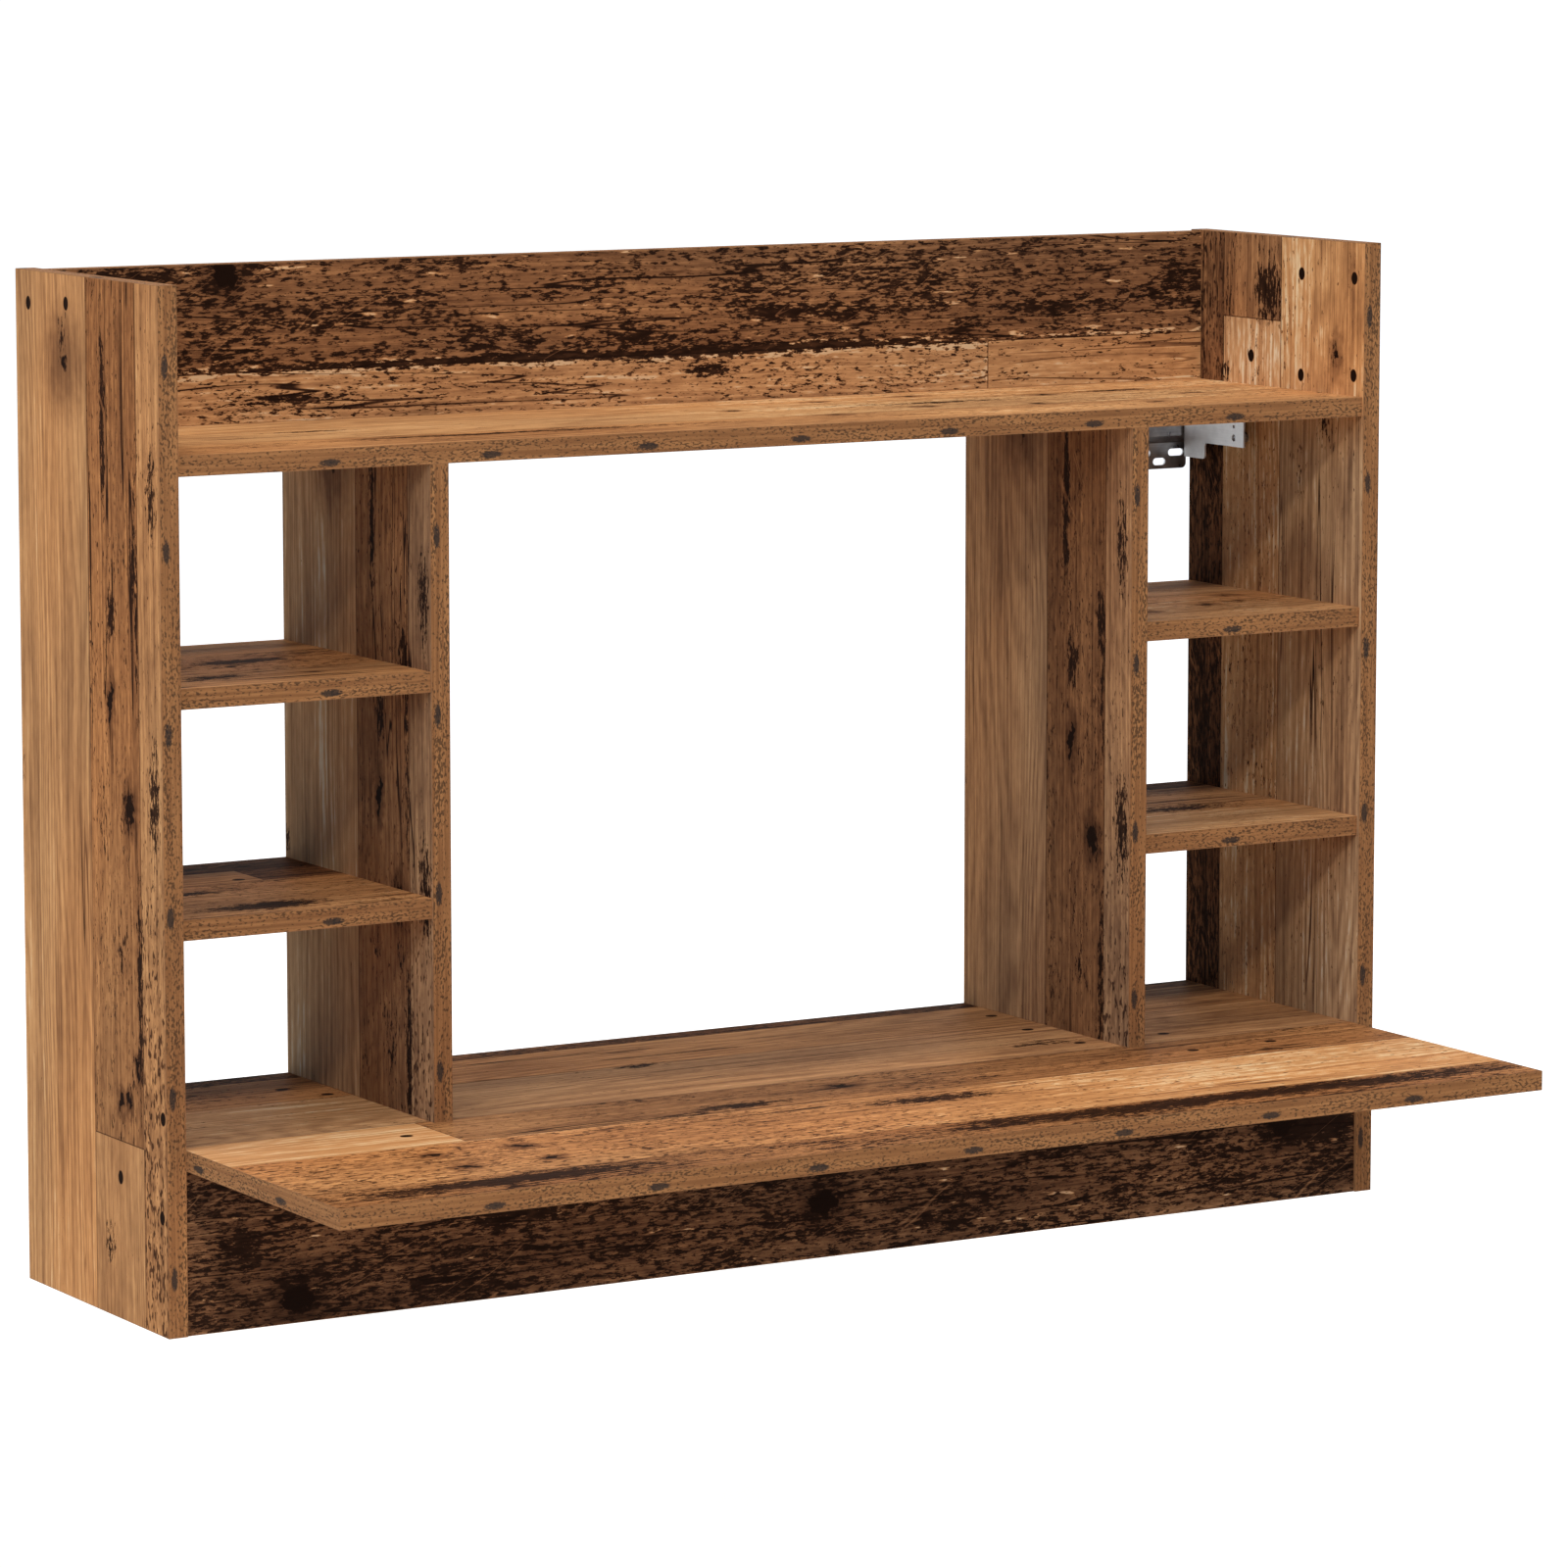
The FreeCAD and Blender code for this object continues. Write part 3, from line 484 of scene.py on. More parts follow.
# Below the top shelf's height the first and third rows turn darker and greyer: painted shade under the top
# shelf. The second row's lower plank is a little greyer, partly as painted shade for its part under the
# shelf.
RIGHT_PANEL_PRINT = Print(
    rows=[
        Row(0.047, Plank(0.36, stain=0.62, speckle=0.5, figure=0.1), joint=0.055,
            beyond=Plank(0.50, stain=0.45, speckle=0.9, figure=0.1), fade=0.05),
        Row(0.080, Plank(0.84, stain=0.30, speckle=0.5, figure=0.5, chips=0.4, warmth=0.38), joint=0.120,
            beyond=Plank(0.54, stain=0.40, speckle=0.3, figure=0.3)),
        Row(0.113, Plank(0.76, stain=0.26, speckle=0.2, figure=0.7, chips=0.2, warmth=0.10), joint=0.055,
            beyond=Plank(0.82, stain=0.26, speckle=0.4, figure=0.7, chips=0.4, warmth=0.75), fade=0.05),
    ],
    nails=[(0.090, 0.086), (0.159, 0.155), (0.159, 0.226), (0.079, 0.155), (0.083, 0.226)],
    knots=[Mark(0.096, 0.201, 0.016, 0.009, 0.4)],
    blotches=[
        Mark(0.142, 0.106, 0.036, 0.026),
        Mark(0.100, 0.200, 0.035, 0.016, 0.6),
        Mark(0.045, 0.190, 0.050, 0.050, 0.5),
        Mark(0.075, 0.052, 0.020, 0.010),
    ],
    pale_patches=[Mark(0.092, 0.090, 0.030, 0.042)],
)
BACK_PANEL_PRINT = Print(
    rows=[
        Row(0.081, Plank(0.53, stain=0.60, speckle=0.5, figure=0.1, chips=1.0, warmth=0.38)),
        Row(0.038, Plank(0.77, stain=0.46, speckle=0.6, figure=0.2, chips=1.0, warmth=0.38), joint=0.306,
            beyond=Plank(0.80, stain=0.34, speckle=0.5, figure=0.2, chips=0.3, warmth=0.44)),
    ],
    knots=[Mark(-0.363, 0.008, 0.012, 0.011)],
    blotches=[
        Mark(0.0, 0.080, 0.55, 0.006, 0.9),
        Mark(-0.02, 0.066, 0.10, 0.016, 0.6),
        Mark(0.12, 0.052, 0.09, 0.016, 0.6),
        Mark(0.36, 0.056, 0.16, 0.014, 0.5),
        Mark(-0.45, 0.010, 0.10, 0.016, 0.6),
        Mark(0.49, 0.030, 0.04, 0.026, 0.6),
        Mark(-0.30, 0.102, 0.12, 0.010, 0.6),
        Mark(0.05, 0.095, 0.05, 0.010, 0.7),
        Mark(0.33, 0.110, 0.03, 0.010, 0.8),
    ],
)
APRON_PRINT = Print(
    rows=[Row(0.120, Plank(0.42, stain=0.64, speckle=0.6, figure=0.1, chips=0.9, warmth=0.22))],
    knots=[
        Mark(-0.421, 0.102, 0.013, 0.012),
        Mark(0.020, 0.078, 0.014, 0.012),
        Mark(0.439, 0.059, 0.014, 0.012),
    ],
    blotches=[
        Mark(-0.25, 0.05, 0.08, 0.02),
        Mark(-0.47, 0.06, 0.05, 0.03, 0.6),
        Mark(0.47, 0.06, 0.06, 0.03, 0.8),
    ],
)
DESKTOP_PRINT = Print(
    rows=[
        Row(0.021, Plank(0.34, stain=0.58, speckle=0.4, figure=0.1)),
        Row(0.087, Plank(0.64, stain=0.42, speckle=0.2, figure=0.2), joint=-0.240,
            beyond=Plank(0.68, stain=0.22, speckle=0.1, figure=0.5)),
        Row(0.122, Plank(0.80, stain=0.24, speckle=0.2, figure=0.5, warmth=0.35), joint=-0.305,
            beyond=Plank(0.68, stain=0.20, speckle=0.2, figure=0.5, warmth=0.35), fade=0.005),
        Row(0.080, Plank(0.86, stain=0.02, speckle=0.05, figure=0.3), joint=-0.322,
            beyond=Plank(0.58, stain=0.40, speckle=0.5, figure=0.3, warmth=0.9)),
        Row(0.120, Plank(0.71, stain=0.36, speckle=0.8, figure=0.2, warmth=0.9), joint=0.10,
            beyond=Plank(0.86, stain=0.20, speckle=0.5, figure=0.3, warmth=0.7), fade=0.20),
        Row(0.050, Plank(0.60, stain=0.56, speckle=0.6, figure=0.1, warmth=0.9)),
    ],
    nails=[
        (-0.350, 0.271), (-0.346, 0.062), (-0.325, 0.096), (0.281, 0.063), (0.272, 0.130), (0.275, 0.200),
        (0.353, 0.200), (0.332, 0.272), (0.406, 0.270),
    ],
    knots=[
        Mark(-0.367, 0.344, 0.007, 0.007, 0.9),
        Mark(-0.367, 0.393, 0.008, 0.007, 0.9),
        Mark(-0.296, 0.346, 0.007, 0.006, 0.9),
        Mark(-0.296, 0.395, 0.008, 0.007, 0.9),
        Mark(0.020, 0.262, 0.009, 0.007, 0.9),
    ],
    blotches=[
        Mark(-0.066, 0.112, 0.040, 0.010),
        Mark(-0.083, 0.292, 0.060, 0.016),
        Mark(0.246, 0.187, 0.060, 0.022),
        Mark(0.25, 0.448, 0.34, 0.020),
        Mark(-0.36, 0.450, 0.16, 0.016),
        Mark(0.05, 0.340, 0.10, 0.020),
    ],
)
TOP_SHELF_PRINT = Print(
    rows=[
        Row(0.085, Plank(0.80, stain=0.14, speckle=0.1, figure=0.5), joint=0.0,
            beyond=Plank(0.80, stain=0.24, speckle=0.6, figure=0.3), fade=0.2),
        Row(0.081, Plank(0.76, stain=0.20, speckle=0.1, figure=0.5), joint=0.0,
            beyond=Plank(0.79, stain=0.28, speckle=0.7, figure=0.3), fade=0.2),
        Row(0.072, Plank(0.68, stain=0.34, speckle=0.2, figure=0.4, warmth=0.7), joint=0.0,
            beyond=Plank(0.74, stain=0.30, speckle=0.6, figure=0.3), fade=0.2),
    ],
    knots=[
        Mark(0.02, 0.100, 0.008, 0.006, 0.6),
        Mark(0.07, 0.170, 0.010, 0.007, 0.6),
        Mark(0.12, 0.060, 0.008, 0.006, 0.6),
        Mark(0.17, 0.140, 0.009, 0.008, 0.6),
        Mark(0.21, 0.050, 0.012, 0.006, 0.6),
        Mark(0.26, 0.160, 0.008, 0.007, 0.6),
        Mark(0.31, 0.090, 0.010, 0.007, 0.6),
        Mark(0.35, 0.190, 0.009, 0.006, 0.6),
        Mark(0.42, 0.130, 0.008, 0.006, 0.6),
    ],
    blotches=[
        Mark(0.202, 0.111, 0.080, 0.014),
        Mark(0.377, 0.081, 0.060, 0.012),
        Mark(-0.332, 0.104, 0.070, 0.010),
        Mark(-0.20, 0.185, 0.24, 0.012),
    ],
)
SHELF_PRINTS = {
    "left_upper_shelf": Print(
        rows=[
            Row(0.066, Plank(0.76, stain=0.25, figure=0.4)),
            Row(0.100, Plank(0.66, stain=0.48, speckle=0.5, figure=0.2)),
            Row(0.071, Plank(0.76, stain=0.3, figure=0.3)),
        ],
        nails=[(-0.420, 0.135)],
        blotches=[Mark(-0.46, 0.19, 0.05, 0.02), Mark(-0.40, 0.11, 0.05, 0.014)],
    ),
    "left_lower_shelf": Print(
        rows=[
            Row(0.045, Plank(0.26, stain=0.5, figure=0.1)),
            Row(0.050, Plank(0.68, stain=0.15, figure=0.4), joint=-0.375, beyond=Plank(0.34, stain=0.5)),
            Row(0.142, Plank(0.70, stain=0.42, speckle=0.5, figure=0.3)),
        ],
        nails=[(-0.391, 0.085)],
        blotches=[Mark(-0.426, 0.205, 0.07, 0.020), Mark(-0.45, 0.13, 0.03, 0.010)],
    ),
    "right_upper_shelf": Print(
        rows=[
            Row(0.090, Plank(0.74, stain=0.24, figure=0.5, warmth=0.30)),
            Row(0.147, Plank(0.78, stain=0.30, speckle=0.5, figure=0.3, warmth=0.40)),
        ],
        nails=[(0.362, 0.120)],
        knots=[
            Mark(0.35, 0.180, 0.010, 0.006, 0.6),
            Mark(0.39, 0.090, 0.012, 0.006, 0.6),
            Mark(0.42, 0.160, 0.009, 0.007, 0.6),
            Mark(0.47, 0.110, 0.010, 0.006, 0.6),
        ],
        blotches=[Mark(0.45, 0.15, 0.05, 0.016, 0.7)],
    ),
    "right_lower_shelf": Print(
        rows=[
            Row(0.030, Plank(0.26, stain=0.5, figure=0.1)),
            Row(0.090, Plank(0.66, stain=0.32, figure=0.3, warmth=0.30)),
            Row(0.117, Plank(0.78, stain=0.28, figure=0.4, warmth=0.40)),
        ],
        blotches=[Mark(0.42, 0.13, 0.09, 0.026), Mark(0.36, 0.05, 0.06, 0.016)],
    ),
}
DIVIDER_SHIFT = 0.083


def shaded_print(print_of_board, cooler, darker):
    """The same print, greyer, and darker by one value for each row: painted shade for a board that stands
    inside the bays.
    """

    def in_shade(plank, loss):
        return plank and replace(plank, warmth=plank.warmth - cooler, tone=plank.tone - loss)

    rows = [
        replace(row, plank=in_shade(row.plank, loss), beyond=in_shade(row.beyond, loss))
        for row, loss in zip(print_of_board.rows, darker)
    ]
    return replace(print_of_board, rows=rows)


BOARD_PRINTS = {
    "left_side_panel": UPRIGHT_PRINT,
    # The dividers take the side panel's print, greyed and darkened as painted shade inside the bays.
    "left_divider": shaded_print(UPRIGHT_PRINT, cooler=0.45, darker=(-0.05, 0.01, 0.05)),
    "right_divider": shaded_print(UPRIGHT_PRINT, cooler=0.25, darker=(0.12, 0.12, 0.06)),
    "right_side_panel": RIGHT_PANEL_PRINT,
    "upper_back_panel": BACK_PANEL_PRINT,
    "front_apron": APRON_PRINT,
    "desktop": DESKTOP_PRINT,
    "top_shelf": TOP_SHELF_PRINT,
    **SHELF_PRINTS,
}


# Boards: each plank and each face is drawn at a depth of its own in the noises, so none is alike
PLANK_DEPTH = 7.3
FACE_DEPTH = 45.0

# Marks: edges are distances from a mark's centre, where 1 is its own edge
FAR = 10.0
NAIL_LENGTH = 0.0052
NAIL_WIDTH = 0.0042
NAIL_EDGE = (1.05, 0.85)
KNOT_EDGE = (1.05, 0.75)
HALO_EDGE = (2.6, 0.9)
HALO_COVER = 0.40
BLOTCH_EDGE = (1.1, 0.0)
BLOTCH_STRENGTH = 0.22
PALE_EDGE = (1.2, 0.5)
PALE_STRENGTH = 0.10
RAGGED_SCALE = 110.0
RAGGED_DETAIL = 3.0
RAGGED_SHIFT = (0.030, 0.018, 0)
RAGGED_CENTRE = (0.015, 0.009, 0)

# Seams between planks, with more chips beside them
SEAM = (0.0007, 0.000175)
SEAM_COVER = 0.55
NO_SEAM = 1.0
SEAM_CHIPS = (0.008, 0.001)
SEAM_CHIP_GAIN = 1.6

# The board's outline, its holes and its skin
RIM = (0.0007, 0.0007 / 3)
RIM_COVER = 0.7
RIM_COLOUR = linear(146, 102, 68)
HOLE_DEPTH = 0.0002
CHIPBOARD_SCALE = 420.0
CHIPBOARD = ((0.3, linear(120, 88, 58)), (0.5, linear(176, 138, 96)), (0.7, linear(208, 176, 132)))
ROUGHNESS = 0.66
ROUGHNESS_BY_LIGHTNESS = -0.16
SPECULAR = 0.01
BOARD_BUMP = 0.25
BOARD_BUMP_DEPTH = 0.0006


def nearest_mark(g, place, marks):
    """The distance to the nearest mark, where 1 is that mark's edge."""
    nearest = FAR
    for mark in marks:
        grow = (1 / mark.length, 1 / mark.width, 0)
        start = (-mark.along / mark.length, -mark.across / mark.width, 0)
        reach = g.length(g.vectors("MULTIPLY_ADD", place, grow, start))
        nearest = g.smaller(nearest, g.add(reach, 1 - mark.strength))
    return nearest


def plank_values(g, rows, across, along):
    """The plank's values at a place of the print, its depth, and the distance to the nearest seam."""
    width = sum(row.width for row in rows)
    share = g.times(across, 1 / width)
    starts = [sum(row.width for row in rows[:index]) / width for index in range(len(rows))]

    def stepped(colours):
        return g.ramp(share, list(zip(starts, colours)), "CONSTANT")

    def values(planks):
        first, alpha = stepped([(p.tone, p.stain, p.speckle, p.figure) for p in planks])
        second, _ = stepped([(p.chips, p.warmth, 0, 1) for p in planks])
        return [*g.channels(first), alpha, *g.channels(second)[:2]]

    found = values([row.plank for row in rows])
    row_shares, _ = stepped([(index / len(rows),) * 3 + (1,) for index in range(len(rows))])
    depth = g.times(g.channels(row_shares)[0], len(rows) * PLANK_DEPTH)
    to_seam = NO_SEAM
    for start in starts[1:]:
        to_seam = g.smaller(to_seam, g.times(g.size(g.subtract(share, start)), width))
    if not any(row.beyond for row in rows):
        return found, depth, to_seam

    faded = 0.0
    butted = 0.0
    for start, row in zip(starts, rows):
        if row.beyond is None:
            continue
        in_row = g.times(g.above(share, start), g.above(start + row.width / width, share))
        if row.fade:
            faded = g.times_add(in_row, g.rise(along, row.joint - row.fade, row.joint + row.fade), faded)
            continue
        butted = g.times_add(in_row, g.above(along, row.joint), butted)
        to_joint = g.size(g.subtract(along, row.joint))
        to_seam = g.smaller(to_seam, g.add(to_joint, g.subtract(NO_SEAM, in_row)))
    others = values([row.beyond or row.plank for row in rows])
    past = g.add(faded, butted)
    found = [g.blend(past, first, second) for first, second in zip(found, others)]
    depth = g.times_add(g.above(butted, 0.5), PLANK_DEPTH / 2, depth)
    return found, depth, to_seam


def face_print(g, print_of_board, along, across, level):
    """The print on a board's faces: its colour, its lightness and its relief."""
    values, depth, to_seam = plank_values(g, print_of_board.rows, across, along)
    tone, stain, speckle, figure, chips, warmth = values
    depth = g.times_add(level, FACE_DEPTH, depth)

    # Wood
    place = g.vector(along, across, 0.0)
    blotch = g.rise(nearest_mark(g, place, print_of_board.blotches), *BLOTCH_EDGE)
    pale = g.rise(nearest_mark(g, place, print_of_board.pale_patches), *PALE_EDGE)
    beside_seam = g.times_add(g.rise(to_seam, *SEAM_CHIPS), SEAM_CHIP_GAIN, 1.0)
    wood = g.node("ShaderNodeGroup", node_tree=OLD_WOOD, inputs={
        "Along": along,
        "Across": across,
        "Depth": depth,
        "Tone": g.times_add(pale, PALE_STRENGTH, tone),
        "Stain": stain,
        "Speckle": speckle,
        "Figure": figure,
        "Chips": g.times(chips, beside_seam),
        "Blotch": g.times(blotch, BLOTCH_STRENGTH),
    }).outputs

    # Nails, knots and seams
    bend_inputs = {"Vector": place, "Scale": RAGGED_SCALE, "Detail": RAGGED_DETAIL}
    bend = g.node("ShaderNodeTexNoise", bend_inputs).outputs["Color"]
    ragged = g.vectors("SUBTRACT", g.vectors("MULTIPLY_ADD", bend, RAGGED_SHIFT, place), RAGGED_CENTRE)
    to_knot = nearest_mark(g, ragged, print_of_board.knots)
    knot = g.larger(g.rise(to_knot, *KNOT_EDGE), g.times(g.rise(to_knot, *HALO_EDGE), HALO_COVER))
    nails = [Mark(*spot, NAIL_LENGTH, NAIL_WIDTH) for spot in print_of_board.nails]
    nail = g.rise(nearest_mark(g, place, nails), *NAIL_EDGE)
    dark = g.larger(g.larger(knot, nail), g.times(g.rise(to_seam, *SEAM), SEAM_COVER))
    light = g.blend(dark, wood["Lightness"], STAIN_LIGHTNESS)

    # Colour
    colour, _ = g.ramp(light, PALETTE)
    hue, _ = g.ramp(HUE.at(g, along, across, depth), HUES)
    age, _ = g.ramp(warmth, WARMTHS)
    return g.tinted(g.tinted(colour, hue), age), light, g.subtract(wood["Height"], dark)


def edge_band(g, along, across, depth):
    """The band on a board's edges: its colour and its relief."""
    band = g.node("ShaderNodeGroup", node_tree=EDGE_BAND, inputs={
        "Along": along,
        "Across": across,
        "Depth": depth,
    }).outputs
    colour, _ = g.ramp(band["Lightness"], PALETTE)
    colour = g.blend_colours(g.times(band["Specks"], SPECK_COVER), colour, SPECK_COLOUR)
    colour = g.blend_colours(g.times(band["Spot"], SPOT_COVER), colour, SPOT_COLOUR)
    return colour, band["Height"]


def board_outline(g, place, low, high):
    """Where a place is at a board's rim, and where it is inside one of its holes."""
    insets = []
    for axis in (X, Y, Z):
        offset = g.size(g.subtract(place[axis], (low[axis] + high[axis]) / 2))
        insets.append(g.subtract((high[axis] - low[axis]) / 2, offset))
    nearest = g.smaller(g.smaller(insets[X], insets[Y]), insets[Z])
    return g.rise(g.middle(*insets), *RIM), g.above(nearest, HOLE_DEPTH)


def board_material(name, print_of_board, grain, shift):
    """The laminate of one board: the print on its faces, bands on its edges, chipboard in its holes."""
    material, g, shader = new_material(f"{name}_laminate")
    low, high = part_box(name)
    sizes = [high[axis] - low[axis] for axis in (X, Y, Z)]
    thick = sizes.index(min(sizes))
    sideways = next(axis for axis in (X, Y, Z) if axis not in (grain, thick))
    coordinates = g.coordinates()
    place = g.parts(coordinates["Object"])
    facing = g.parts(coordinates["Normal"])
    on_face = g.above(g.size(facing[thick]), 0.5)
    on_end = g.above(g.size(facing[grain]), 0.5)

    across = g.subtract(high[sideways], place[sideways])
    along = g.add(place[grain], shift)
    face_colour, light, face_height = face_print(g, print_of_board, along, across, place[thick])
    band_along = g.blend(on_end, place[grain], place[sideways])
    band_across = g.subtract(place[thick], low[thick])
    band_colour, band_height = edge_band(g, band_along, band_across, sizes[grain] * PLANK_DEPTH)
    rim, hole = board_outline(g, place, low, high)
    chipboard, _ = g.ramp(g.noise(coordinates["Object"], 3.0, 0.6, CHIPBOARD_SCALE), CHIPBOARD)

    colour = g.blend_colours(on_face, band_colour, face_colour)
    colour = g.blend_colours(g.times(rim, RIM_COVER), colour, RIM_COLOUR)
    colour = g.blend_colours(hole, colour, chipboard)
    height = g.blend(on_face, band_height, face_height)
    g.feed(shader.inputs["Base Color"], colour)
    g.feed(shader.inputs["Roughness"], g.times_add(light, ROUGHNESS_BY_LIGHTNESS, ROUGHNESS))
    g.feed(shader.inputs["Normal"], g.bump(height, BOARD_BUMP, BOARD_BUMP_DEPTH))
    shader.inputs["Specular IOR Level"].default_value = SPECULAR
    return material


# Metals and dowels
METAL_TONES = (0.3, 0.7)
METAL_CLOUDS = 90.0
SCRATCH_STRENGTH = 0.5
GLOSS_CHANGE = 0.3
METAL_BUMP = 0.12
METAL_BUMP_DEPTH = 0.0002
BEECH_GRAIN = (120, 900, 900)
BEECH = ((0.35, linear(170, 124, 80)), (0.5, linear(212, 172, 124)), (0.7, linear(226, 190, 144)))
BEECH_ROUGHNESS = 0.5
BEECH_ROUGHNESS_BY_FLECKS = 0.2
BEECH_BUMP = 0.2
BEECH_BUMP_DEPTH = 0.0003


def metal_material(name, bright, dull, roughness, metallic, grain):
    """A metal with cloudy tones, fine scratches along one direction and a rough skin."""
    material, g, shader = new_material(name)
    place = g.coordinates()["Object"]
    clouds = g.noise(place, 3.0, 0.55, METAL_CLOUDS)
    scratches = g.noise(g.vectors("MULTIPLY", place, grain), 2.0, 0.6)
    tone = g.vary(clouds, scratches, SCRATCH_STRENGTH)
    colour, _ = g.ramp(tone, list(zip(METAL_TONES, (dull, bright))))
    g.feed(shader.inputs["Base Color"], colour)
    g.feed(shader.inputs["Roughness"], g.vary(roughness, clouds, GLOSS_CHANGE))
    g.feed(shader.inputs["Normal"], g.bump(scratches, METAL_BUMP, METAL_BUMP_DEPTH))
    shader.inputs["Metallic"].default_value = metallic
    return material


def beech_material():
    """Plain dowel wood: pale, with short brown flecks."""
    material, g, shader = new_material("beech_dowel")
    flecks = g.noise(g.vectors("MULTIPLY", g.coordinates()["Object"], BEECH_GRAIN), 2.0)
    colour, _ = g.ramp(flecks, BEECH)
    g.feed(shader.inputs["Base Color"], colour)
    g.feed(shader.inputs["Roughness"], g.times_add(flecks, BEECH_ROUGHNESS_BY_FLECKS, BEECH_ROUGHNESS))
    g.feed(shader.inputs["Normal"], g.bump(flecks, BEECH_BUMP, BEECH_BUMP_DEPTH))
    return material


# One material for each piece


def dress(name, material):
    """Gives a CAD node its one material."""
    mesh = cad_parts[name].data
    mesh.materials.clear()
    mesh.materials.append(material)


OLD_WOOD = old_wood_group()
EDGE_BAND = edge_band_group()
for board, board_print in BOARD_PRINTS.items():
    board_grain = Z if board.endswith(("side_panel", "divider")) else X
    board_shift = DIVIDER_SHIFT if board.endswith("divider") else 0.0
    dress(board, board_material(board, board_print, board_grain, board_shift))

HOUSING_STEEL = metal_material(
    "housing_steel",
    bright=linear(218, 220, 221),
    dull=linear(201, 203, 204),
    roughness=0.45,
    metallic=0.6,
    grain=(300, 60, 1500),
)
ZINC_STEEL = metal_material(
    "zinc_steel",
    bright=linear(186, 188, 192),
    dull=linear(140, 142, 146),
    roughness=0.32,
    metallic=0.9,
    grain=(60, 900, 900),
)
DIE_CAST = metal_material(
    "die_cast_zinc",
    bright=linear(160, 160, 162),
    dull=linear(120, 120, 122),
    roughness=0.5,
    metallic=0.8,
    grain=(500, 500, 500),
)
SCREW_STEEL = metal_material(
    "screw_steel",
    bright=linear(190, 188, 180),
    dull=linear(136, 134, 128),
    roughness=0.35,
    metallic=0.9,
    grain=(900, 900, 200),
)
dress("wooden_dowels", beech_material())
dress("cam_locks", DIE_CAST)
for fasteners in ("cam_bolts", "divider_screws"):
    dress(fasteners, SCREW_STEEL)
for side in ("left", "right"):
    dress(f"{side}_hanger_housing", HOUSING_STEEL)
    dress(f"{side}_hanger_carriage", DIE_CAST)
    for piece in ("hanger_posts", "hanger_hook", "wall_plate"):
        dress(f"{side}_{piece}", ZINC_STEEL)
    for piece in ("depth_screw", "height_screw"):
        dress(f"{side}_{piece}", SCREW_STEEL)


# Stage, light and camera
DESK_HEIGHT = 0.75
FLOOR_SIZE = 400.0
FLOOR_PAINT = ((0.3, linear(244, 231, 218)), (0.7, linear(250, 238, 225)))
FLOOR_CLOUDS = 3.0
FLOOR_ROUGHNESS = 0.9
GLOW_NEAR = 0.42
GLOW_FAR = 0.86
SHADOW_REACH = (1.7, 4.0)
SKY_STRENGTH = 0.30
SKY = (0.70, 1.0, 1.40, 1.0)
WHITE = (1.0, 1.0, 1.0, 1.0)
COOL = (0.84, 1.0, 1.22)
WARM = (1.0, 0.95, 0.86)
LAMP_DISTANCE = 9.0
CAMERA_PLACE = (-2.5025, -4.4186, 0.4737)
CAMERA_TILT = 7.071
CAMERA_TURN = 30.756
SENSOR = 36
LENS = 151.45
LENS_SHIFT = -0.06


def seen_rays(g):
    """1 for what is seen, in gloss and through glass too, and 0 for the rays that light the desk."""
    rays = g.node("ShaderNodeLightPath").outputs
    return g.larger(rays["Is Camera Ray"], g.larger(rays["Is Glossy Ray"], rays["Is Transmission Ray"]))


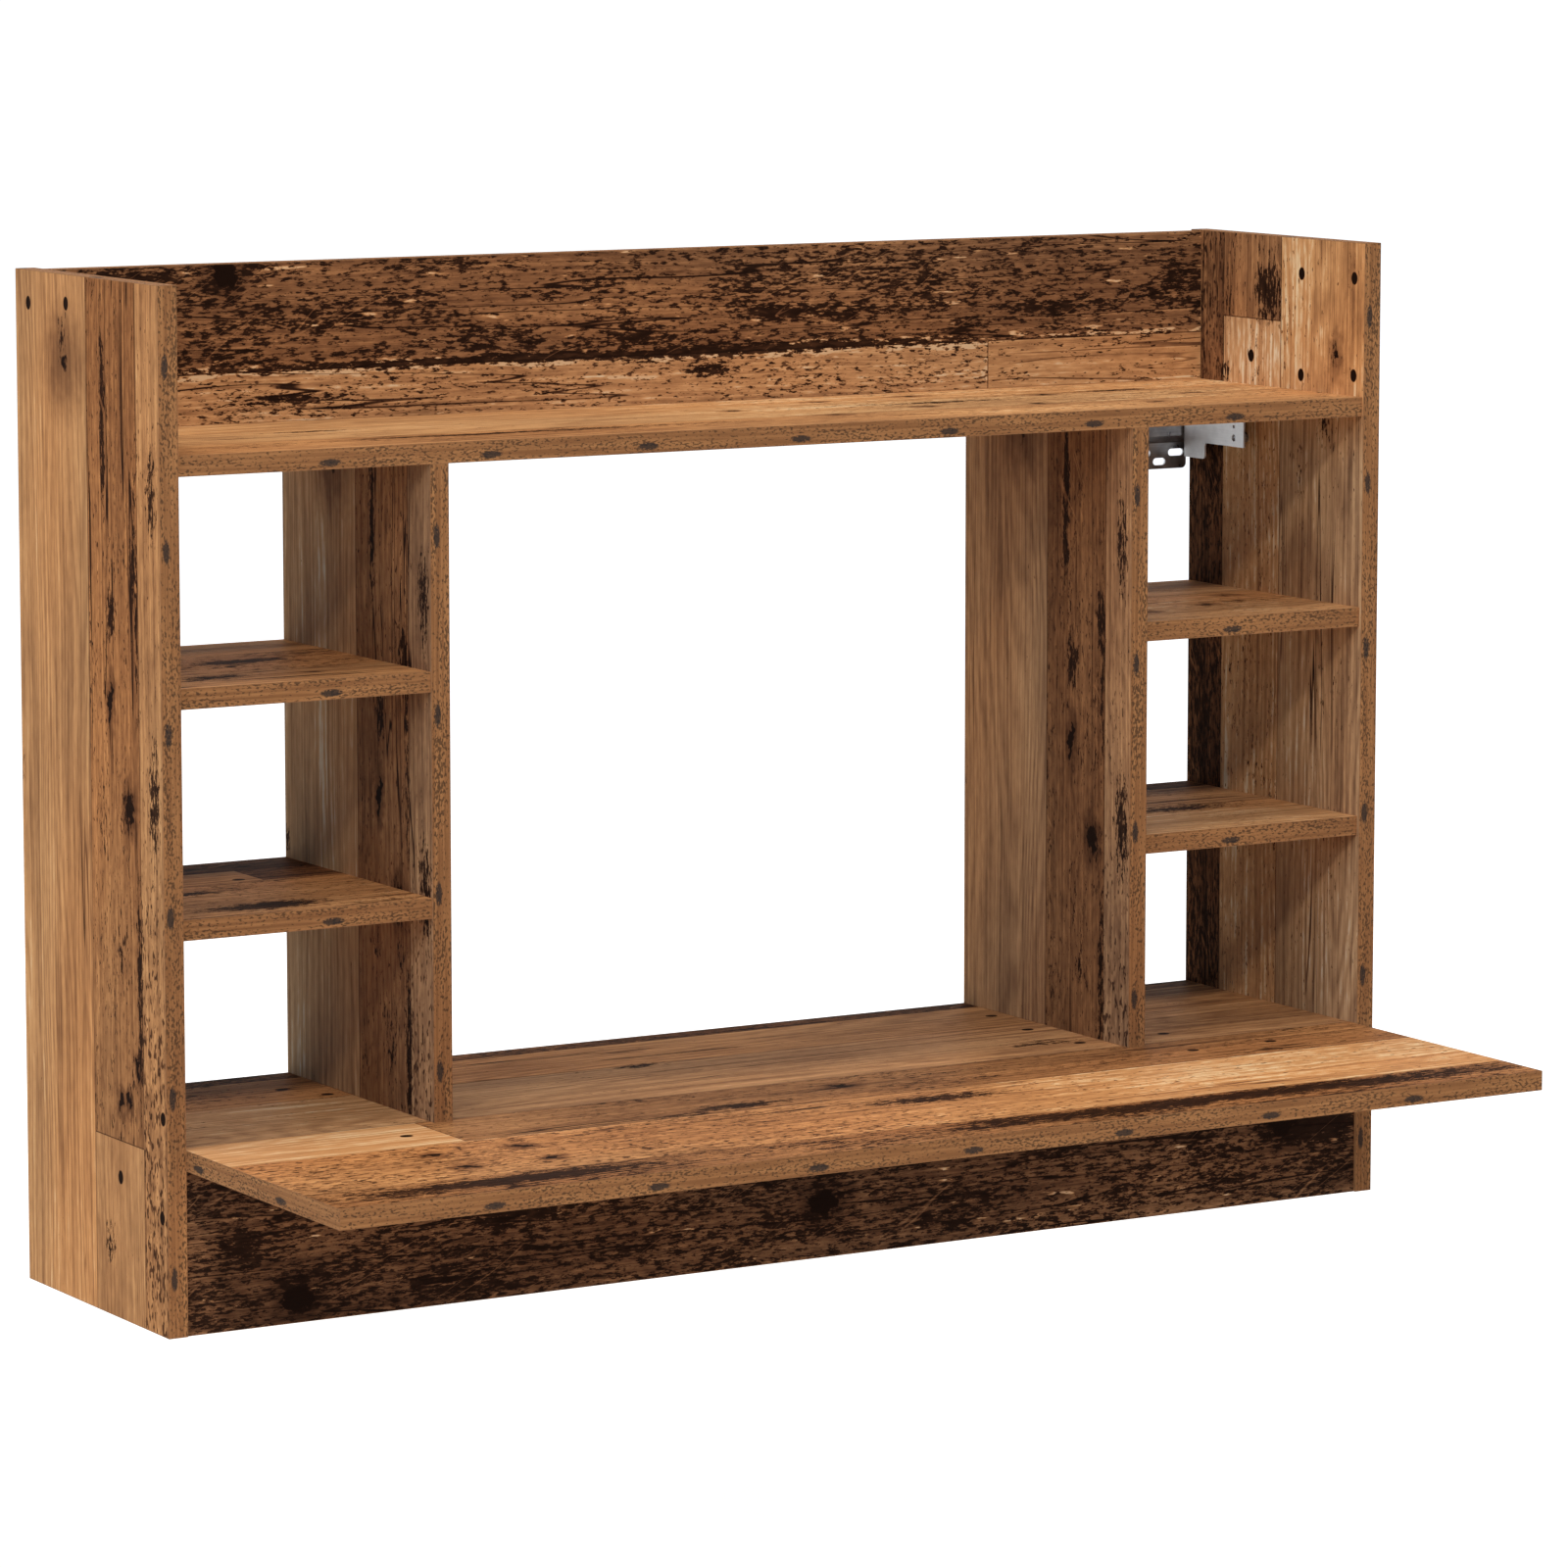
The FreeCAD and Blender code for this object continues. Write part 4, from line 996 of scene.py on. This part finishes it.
def add_floor():
    """A pale floor under the hanging desk: white where it is lit, with the desk's shadow on it."""
    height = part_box("desktop")[1][Z] - DESK_HEIGHT
    half = FLOOR_SIZE / 2
    mesh = bpy.data.meshes.new("floor")
    corners = [(-half, -half, height), (half, -half, height), (half, half, height), (-half, half, height)]
    mesh.from_pydata(corners, [], [(0, 1, 2, 3)])
    floor = bpy.data.objects.new("floor", mesh)
    bpy.context.collection.objects.link(floor)
    material, g, shader = new_material("floor_paint")
    place = g.coordinates()["Object"]
    colour, _ = g.ramp(g.noise(place, 2.0, scale=FLOOR_CLOUDS), FLOOR_PAINT)
    away = g.length(g.vectors("MULTIPLY", place, (1, 1, 0)))
    glow = g.blend(g.rise(away, *SHADOW_REACH), GLOW_NEAR, GLOW_FAR)
    g.feed(shader.inputs["Base Color"], colour)
    g.feed(shader.inputs["Emission Strength"], g.times(seen_rays(g), glow))
    shader.inputs["Emission Color"].default_value = WHITE
    shader.inputs["Roughness"].default_value = FLOOR_ROUGHNESS
    shader.inputs["Specular IOR Level"].default_value = 0.0
    mesh.materials.append(material)


def add_world():
    """Soft light from all round, with white for the camera and for reflections."""
    world = bpy.data.worlds.new("studio")
    world.use_nodes = True
    bpy.context.scene.world = world
    g = Graph(world.node_tree)
    background = world.node_tree.nodes["Background"]
    seen = seen_rays(g)
    g.feed(background.inputs["Strength"], g.blend(seen, SKY_STRENGTH, 1.0))
    g.feed(background.inputs["Color"], g.blend_colours(seen, SKY, WHITE))


def add_lamp(name, direction, size, power, colour):
    """A square soft lamp that shines from a direction towards the middle of the desk."""
    lamp = bpy.data.lights.new(name, "AREA")
    lamp.size = size
    lamp.energy = power
    lamp.color = colour
    middle = (CAD_BOX[0] + CAD_BOX[1]) / 2
    towards = type(middle)(direction).normalized()
    source = bpy.data.objects.new(name, lamp)
    source.location = middle + towards * LAMP_DISTANCE
    source.rotation_euler = towards.to_track_quat("Z", "Y").to_euler()
    bpy.context.collection.objects.link(source)


def add_camera():
    """A long lens from the front left, a little above the desk."""
    data = bpy.data.cameras.new("camera")
    data.sensor_width = SENSOR
    data.lens = LENS
    data.shift_y = LENS_SHIFT
    camera = bpy.data.objects.new("camera", data)
    camera.location = CAMERA_PLACE
    camera.rotation_euler = (math.radians(90 - CAMERA_TILT), 0, math.radians(-CAMERA_TURN))
    bpy.context.collection.objects.link(camera)
    bpy.context.scene.camera = camera


add_floor()
add_world()
add_lamp("key", direction=(-0.30, -1.0, 0.85), size=0.7, power=331, colour=WARM)
add_lamp("overhead", direction=(-0.25, -0.05, 1.0), size=5.0, power=465, colour=WARM)
add_lamp("left_fill", direction=(-1.0, -0.2, 0.33), size=4.0, power=217, colour=COOL)
add_camera()
bpy.context.scene.view_settings.view_transform = "Standard"
